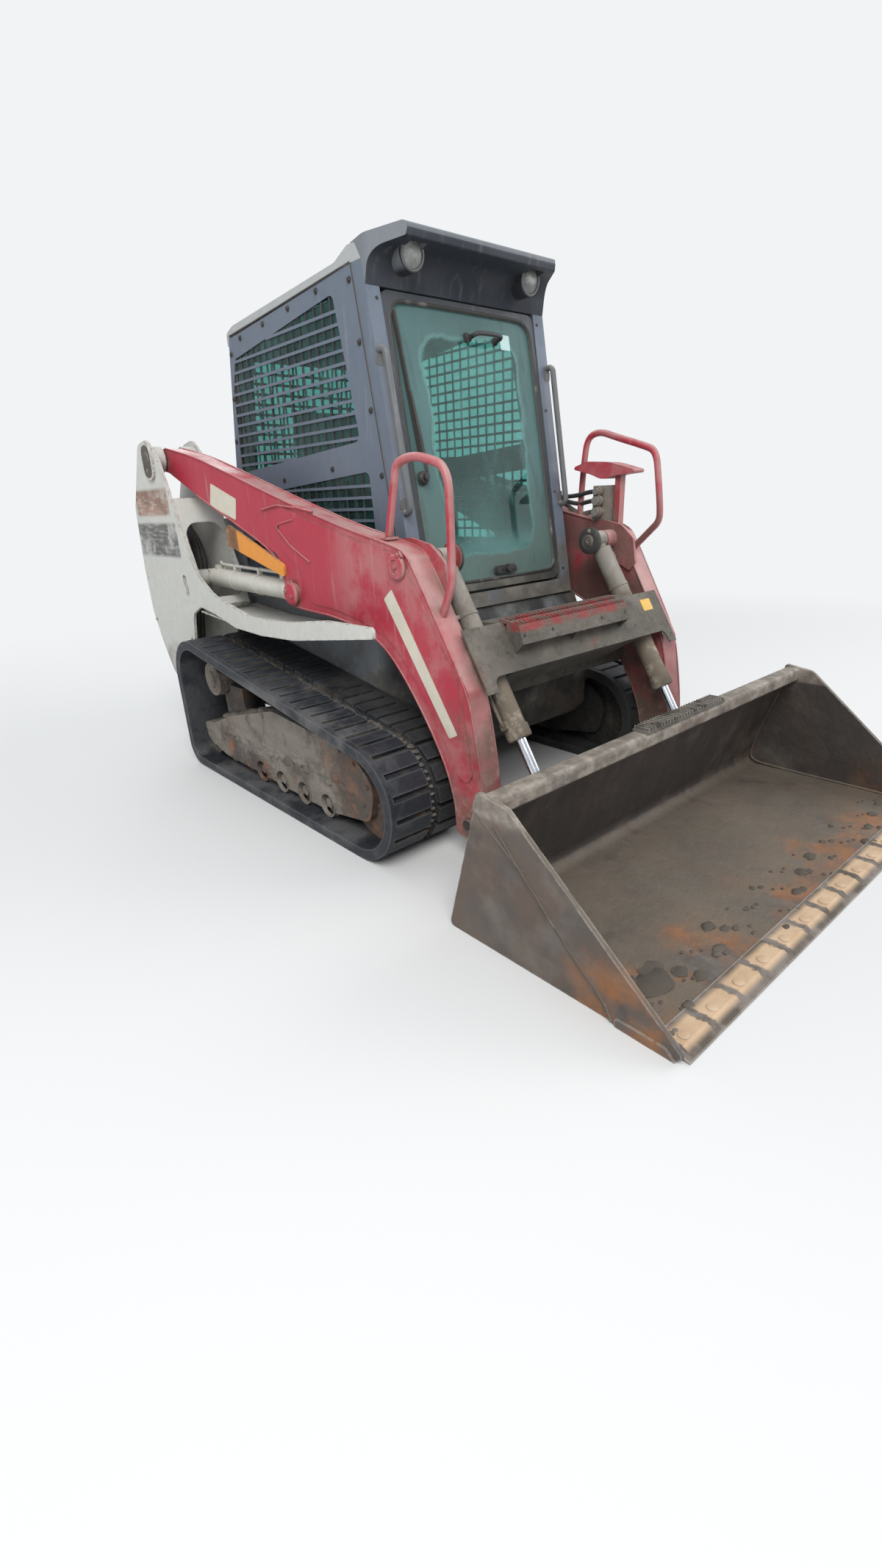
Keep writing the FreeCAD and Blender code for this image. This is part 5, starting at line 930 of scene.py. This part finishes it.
def make_cross_details():
    lean = math.atan2(109, 173)
    front = Matrix.Translation((0, -726, 742)) @ Matrix.Rotation(-lean, 4, "X")
    plate((486, 112), (560, 168), 5, "y", 1, -1.6, 0.4)
    piece("cross_blank_sign", "yellow", "boom", front)
    count = 30
    for i in range(count):
        x = -414 + i * 23
        slab(((-700, 902), (-704, 916), (-680, 920), (-672, 906)), "x", x, x + 12, 1)
        slab(((-640, 913), (-648, 926), (-622, 930), (-612, 918)), "x", x + 11, x + 23, 1)
    piece("step_teeth", "cross", "boom")
    spots = [(x, -714, 868) for x in (-400, -235, 85, 250)]
    bolts("step_bolts", spots, (0, -1, 0.3), 8, "bolt", "boom")


def make_cylinder_details():
    for letter, side in SIDES:
        place = cylinder_frame(side, 702.68, (1330, 1015), (363, 995))
        turned(((47, -48), (53, -44), (53, -4), (48, 2), (34, 3), (28.5, 3), (28.5, -10)), (0, 876, 0),
            (0, 1, 0), 36)
        for along in (96, 800):
            plate((-18, along - 18), (18, along + 18), 6, "z", 40, 66, 3)
        for along in (300, 560):
            turned(((48.5, -9), (51, -7), (51, 7), (48.5, 9)), (0, along, 0), (0, 1, 0), 36)
            plate((-12, along - 10), (12, along + 10), 3, "z", 46, 80, 3)
        piece("lift_fittings_" + letter, "cream", "lift_barrel_" + letter, place)
        tubes("lift_pipe_" + letter, [[(0, 800, 62), (0, 790, 72), (0, 760, 72), (0, 300, 72), (0, 150, 72),
            (8, 120, 74), (14, 100, 80)]], 8, "cream", "lift_barrel_" + letter, place)
        place = cylinder_frame(side, 500, TILT_PIN, (-893, 330))
        turned(((43, -52), (50, -48), (50, -4), (46, 2), (30, 3), (23.5, 3), (23.5, -10)), (0, 771, 0),
            (0, 1, 0), 36)
        for along in (92, 706):
            plate((along - 17, -17), (along + 17, 17), 6, "x", side * 36, side * 60, 3)
        for along in (250, 520):
            turned(((44.5, -8), (47, -6), (47, 6), (44.5, 8)), (0, along, 0), (0, 1, 0), 36)
            plate((along - 9, -11), (along + 9, 11), 3, "x", side * 42, side * 68, 3)
        piece("tilt_fittings_" + letter, "cylinder", "tilt_barrel_" + letter, place)
        tubes("tilt_pipe_" + letter, [[(side * reach, along, 0)
            for reach, along in ((55, 706), (61, 694), (61, 660), (61, 250), (61, 130), (56, 98))]], 7,
            "cylinder", "tilt_barrel_" + letter, place)


def make_tower_details():
    for letter, side in SIDES:
        plate((1424, 1512), (1556, 1694), 60, "x", side * 880, side * 891.5, 3)
        piece("pivot_rim_" + letter, "grey")
        plate((1436, 1524), (1544, 1682), 50, "x", side * 889, side * 892.5, 1)
        turned(((34, 0), (34, 6), (30, 9), (0, 9)), (side * 891, 1486, 1612), (side, 0, 0), 28)
        bolt((side * 891, 1500, 1560), (side, 0, 0), 8)
        piece("pivot_plate_" + letter, "hitch")
        plate((side * 690, 1122), (side * 812, 1212), 16, "y", 1800, 1836, 4)
        piece("tail_lamp_body_" + letter, "bolt")
        plate((side * 698, 1130), (side * 804, 1204), 12, "y", 1834, 1846, 4)
        piece("tail_lens_" + letter, "amber")
        spots = [(side * 880, y, z) for y, z in ((1840, 1010), (1835, 760), (1640, 470), (1500, 470),
            (1345, 700))]
        bolts("plate_bolts_" + letter, spots, (side, 0, 0), 9, "grey")
        routes = []
        for i, x in enumerate((680, 708, 736)):
            routes.append([(side * x, 1700, 520 + 30 * i), (side * x, 1640 - 20 * i, 760),
                (side * x, 1560 - 20 * i, 900), (side * x, 1590, 1120), (side * x, 1660, 1300 + 20 * i),
                (side * x, 1700, 1360)])
        tubes("tower_hoses_" + letter, routes, 12, "hose")
        routes = [[(side * (700 + 24 * i), 1500 - 20 * i, 905), (side * (690 + 24 * i), 1440, 980),
            (side * (690 + 24 * i), 1425, 1110), (side * (700 + 20 * i), 1450, 1220),
            (side * 700, 1540, 1270 + 14 * i)] for i in range(3)]
        tubes("web_hoses_" + letter, routes, 10, "hose")


def make_undercarriage_details():
    for letter, side in SIDES:
        mid = side * TRACK_MIDDLE
        for i in range(9):
            turn = math.tau * i / 9
            bolt((mid + side * 115, SPROCKET[0] + 68 * math.cos(turn), SPROCKET[1] + 68 * math.sin(turn)),
                (side, 0, 0), 9, i)
        turned(((92, 0), (90, 6), (48, 8), (44, 16), (34, 20), (0, 21)), (mid + side * 114, *SPROCKET),
            (side, 0, 0), 36)
        for i in range(6):
            turn = math.tau * i / 6
            bolt((mid + side * 116, IDLER[0] + 46 * math.cos(turn), IDLER[1] + 46 * math.sin(turn)),
                (side, 0, 0), 8, i)
        piece("drive_cover_" + letter, "undercarriage")
        spots = [(mid + side * 150, y, z) for y, z in ((-300, 200), (-335, 290), (-250, 370), (-150, 405),
            (520, 420), (700, 370), (1150, 130), (1200, 210))]
        bolts("case_bolts_" + letter, spots, (side, 0, 0), 9, "undercarriage")
        for y in (-8, 198, 404, 610):
            turned(((57, -2), (60, 2), (60, 5), (52, 5), (51, -12)), (mid + side * 148, y, 110), (side, 0, 0),
                32)
        piece("roller_rims_" + letter, "undercarriage")
        for i in range(90):
            if i < 74:
                spot = (1093 - 20.15 * i, 700.5 - 3.17 * i)
            else:
                turn = math.radians(9 + (i - 73) * 8)
                spot = (IDLER[0] - 225 * math.sin(turn), IDLER[1] + 225 * math.cos(turn))
            size = 9 + 9 * chance(i, 1.9, 2, side)
            lump((mid + 22 * chance(i, 2.7, 4, side), *spot), (size * 1.3, size * 1.5, size), 300 + i, 0.7)
        piece("track_mud_" + letter, "clod", sharp=70)
        for i in range(26):
            y = -230 + i * 52 + 18 * chance(i, 1.7, 0, side)
            top = 385 + (y + 280) * 0.16 if y < 230 else 465 - max(0, y - 414) * 0.25
            size = 34 + 22 * chance(i, 2.3, 3, side)
            lump((mid + side * (60 + 70 * chance(i, 3.1, 7, side)), y, top - 6),
                (size * 1.1, size * 1.5, size * 0.8), i)
        for i in range(22):
            y = -200 + i * 58
            z = 200 + 90 * chance(i, 1.9, 5, side)
            size = 24 + 16 * chance(i, 2.9, 9, side)
            lump((mid + side * 149, y, z + 40), (7, size * 1.5, size * 2.0), 40 + i)
        piece("case_mud_" + letter, "undercarriage", sharp=70)


def back(z):
    """The bucket's back at height z."""
    return -965 - 153 * z / 548


def make_bucket_details():
    half = 1043
    for letter, side in SIDES:
        inside = [(side * (half - 5), y, z) for y, z in ((back(470) - 18, 470), (back(300) - 18, 300),
            (back(90) - 18, 90), (back(20) - 45, 24), (-1150, 18), (-1400, 17), (-1700, 17))]
        tubes("bucket_weld_" + letter, [inside], 7, "steel", "bucket")
        # The rim weld takes the dark clod finish as a painted shadow line along the raised strip's edge.
        rim = [(side * 1061, y, z) for y, z in ((-1190, 458), (-1240, 408), (-1291, 352), (-1400, 246),
            (-1531, 119), (-1608, 66), (-1640, 6))]
        tubes("strip_weld_shadow_" + letter, [rim], 4, "clod", "bucket")
    for i in range(28):
        x = -236 + i * 20
        plate((back(548), 543), (back(548) - 66, 555), 0, "x", x, x + 8, 1.5)
    piece("bucket_step_ridges", "steel", "bucket")
    for i in range(14):
        turned(((17, -4), (17, 3), (12, 5), (0, 5)), (1000 * i / 6.6 - 979, -1812, 20), (0, 0, 1), 20)
    piece("edge_bolts", "edge", "bucket")
    for i in range(90):
        x = 1030 * (2 * (i * 0.6180339 % 1) - 1)
        y = -1590 - 200 * ((i * 0.4142136 + 0.3 * chance(i, 1.3, 1)) % 1)
        size = 4 + 12 * (i * 0.7320508 % 1) ** 3
        lump((x, y, 16), (size * 1.7, size * 1.3, size), i, 0.5)
    clods = ((-850, -1640, 50), (-800, -1600, 30), (-900, -1585, 24), (-745, -1665, 20), (-560, -1690, 18))
    for i, (x, y, size) in enumerate(clods):
        lump((x, y, 17), (size * 1.4, size * 1.1, size * 0.5), 200 + i, 0.5)
    piece("bucket_mud", "clod", "bucket", sharp=70)


def make_engine_details():
    """What stands on the engine block: valve cover, air cleaner, muffler, fan, alternator and hoses."""
    plate((-236, 1404), (150, 1530), 24, "z", 1149, 1206, 10)
    for i in range(4):
        left = -206 + 80 * i
        plate((left, 1420), (left + 18, 1514), 8, "z", 1205, 1214, 3)
    turned(((34, -2), (34, 10), (30, 14), (30, 26), (24, 30), (0, 30)), (112, 1468, 1206), (0, 0, 1), 20)
    piece("valve_cover", "cylinder")
    turned(((0, 0), (50, 0), (58, 6), (60, 16), (60, 250), (65, 254), (65, 268), (60, 272), (58, 310),
        (48, 322), (0, 324)), (-262, 1604, 1236), (1, 0, 0), 32)
    turned(((30, 0), (30, 60), (34, 62), (34, 70), (0, 70)), (-190, 1604, 1280), (0, 0, 1), 24)
    for start in (-226, -70):
        slab(((1560, 1149, 2), (1638, 1149, 2), (1650, 1232, 10), (1560, 1232, 10)), "x", start, start + 8, 2)
    piece("air_cleaner", "plastic")
    turned(((0, 0), (30, 2), (50, 14), (54, 30), (54, 240), (50, 256), (30, 268), (0, 270)),
        (-60, 1356, 1236), (1, 0, 0), 32)
    turned(((24, -8), (24, 40), (20, 40), (20, 0), (0, 0)), (208, 1356, 1236), (1, 0, 0), 24)
    for start in (-30, 150):
        slab(((1322, 1149, 2), (1392, 1149, 2), (1392, 1210, 8), (1322, 1210, 8)), "x", start, start + 6, 2)
    piece("muffler", "steel")
    turned(((256, -1), (256, 10), (240, 14), (240, 84), (246, 90), (228, 90), (226, 16), (0, 10)),
        (0, 1640, 790), (0, 1, 0), 64)
    piece("fan_shroud", "plastic")
    for i in range(7):
        slab(((40, -24, 4), (212, -42, 22), (212, 42, 22), (40, 24, 4)), "y", -2.5, 2.5, 1)
        place = Matrix.Translation((0, 1690, 790)) @ Matrix.Rotation(i * math.tau / 7, 4,
            "Y") @ Matrix.Rotation(0.5, 4, "X")
        piece(f"fan_blade_{i + 1}", "hose", place=place)
    turned(((60, 8), (60, 30), (52, 34), (52, 58), (60, 62), (60, 72), (34, 76), (30, 88), (0, 90)),
        (0, 1640, 790), (0, 1, 0), 32)
    turned(((56, -1), (56, 70), (50, 78), (34, 80), (34, 86), (44, 88), (38, 96), (44, 104), (14, 106),
        (12, 116), (0, 116)), (232, 1640, 1086), (0, 1, 0), 32)
    turned(((40, -1), (46, 6), (46, 96), (42, 104), (30, 108), (0, 108)), (-232, 1640, 420), (0, 1, 0), 28)
    piece("engine_turned", "steel")
    bolts("engine_bolts", [(side * 278, 1640, z) for _, side in SIDES for z in (300, 520, 640, 940, 1000)],
        (0, 1, 0), 11, "steel")
    tubes("engine_hoses", [[(62, 1604, 1236), (130, 1604, 1240), (176, 1560, 1232), (170, 1480, 1200),
        (170, 1470, 1150)], [(-262, 1640, 1080), (-262, 1700, 1080), (-268, 1720, 1000), (-268, 1720, 700),
        (-262, 1700, 560), (-262, 1640, 560)]], 20, "hose")
    tubes("engine_lines", [[(232, 1640, 620), (232, 1672, 620), (262, 1690, 560), (250, 1690, 420),
        (140, 1680, 380), (0, 1680, 400), (-180, 1700, 420)],
        [(-262, 1640, 1130), (-200, 1680, 1130), (0, 1676, 1110), (150, 1680, 1120), (232, 1680, 1130)]], 9,
        "hose")


def make_rear_details():
    for side in (-1, 1):
        for y in range(1420, 1660, 30):
            top = 1398 - (y - 1297) * 0.039
            slab(((y - 1, top), (y + 13, top - 16), (y + 16, top - 14), (y + 2, top + 1)), "x", side * 119,
                side * 421, 0.6)
    piece("hood_louvres", "hull", "engine_hood")
    for z in range(720, 1120, 40):
        back = 1865 - max(0, z - 800) * 0.041
        slab(((back, z - 1), (back + 1, z + 3), (back - 24, z + 17), (back - 26, z + 14)), "x", -381, 381,
            0.8)
    piece("door_louvres", "hull", "rear_door")
    plate((-490, 1150), (-440, 1230), 10, "y", 1850, 1869, 4)
    piece("door_catch", "plastic", "rear_door")


def make_stage():
    """Pale floor that fades into a pale backdrop, a soft sky light and three soft lamps."""
    pale = {"Color": (0.93, 0.945, 0.96), "Strength": 0.95}
    ground = Tree("floor")
    ground.finish((0.66, 0.655, 0.64), 0.9)
    far = ground.step(ground.add("VectorMath", {0: ground.place}, "Value", operation="LENGTH"), 2.6, 7.5)
    near = Value(ground, ground.shader.outputs[0])
    ground.feed(ground.nodes["Material Output"].inputs[0],
        ground.add("MixShader", {0: far, 1: near, 2: ground.add("Emission", pale)}))
    mesh = bpy.data.meshes.new("floor")
    reach = 60
    mesh.from_pydata([(-reach, -reach, 0), (reach, -reach, 0), (reach, reach, 0), (-reach, reach, 0)], [],
        [(0, 1, 2, 3)])
    mesh.materials.append(ground.owner)
    floor = bpy.data.objects.new("floor", mesh)
    floor.location.z = -0.0005
    bpy.context.scene.collection.objects.link(floor)
    sky = Tree("studio", bpy.data.worlds.new("studio"))
    bpy.context.scene.world = sky.owner
    camera, through = (sky.add("LightPath", (), kind) for kind in ("Is Camera Ray", "Is Transmission Ray"))
    light = sky.add("Background", {"Color": (0.86, 0.92, 1.0), "Strength": 0.62})
    sky.feed(sky.nodes["World Output"].inputs[0], sky.add("MixShader",
        {0: sky.math("MAXIMUM", camera, through, clamp=True), 1: light, 2: sky.add("Background", pale)}))
    # Soft lamps: name, place, size and watts; all point at the cab's foot.
    for name, place, size, watts in (("key", (-4.5, -4.5, 7.0), 5.0, 620),
            ("fill", (5.5, -3.0, 4.5), 5.0, 190), ("back", (0.5, 7.0, 6.0), 5.0, 260)):
        lamp = bpy.data.lights.new(name, "AREA")
        lamp.size = size
        lamp.energy = watts
        shine = bpy.data.objects.new(name, lamp)
        shine.location = place
        shine.rotation_euler = (Vector((0, 0, 0.9)) - Vector(place)).to_track_quat("-Z", "Y").to_euler()
        bpy.context.scene.collection.objects.link(shine)


dress_frame()
make_stage()
make_camera()
make_cab_details()
make_lamps()
make_inside()
make_arm_details()
make_cross_details()
make_cylinder_details()
make_tower_details()
make_undercarriage_details()
make_bucket_details()
make_rear_details()
make_engine_details()
bpy.context.scene.view_settings.view_transform = "Standard"
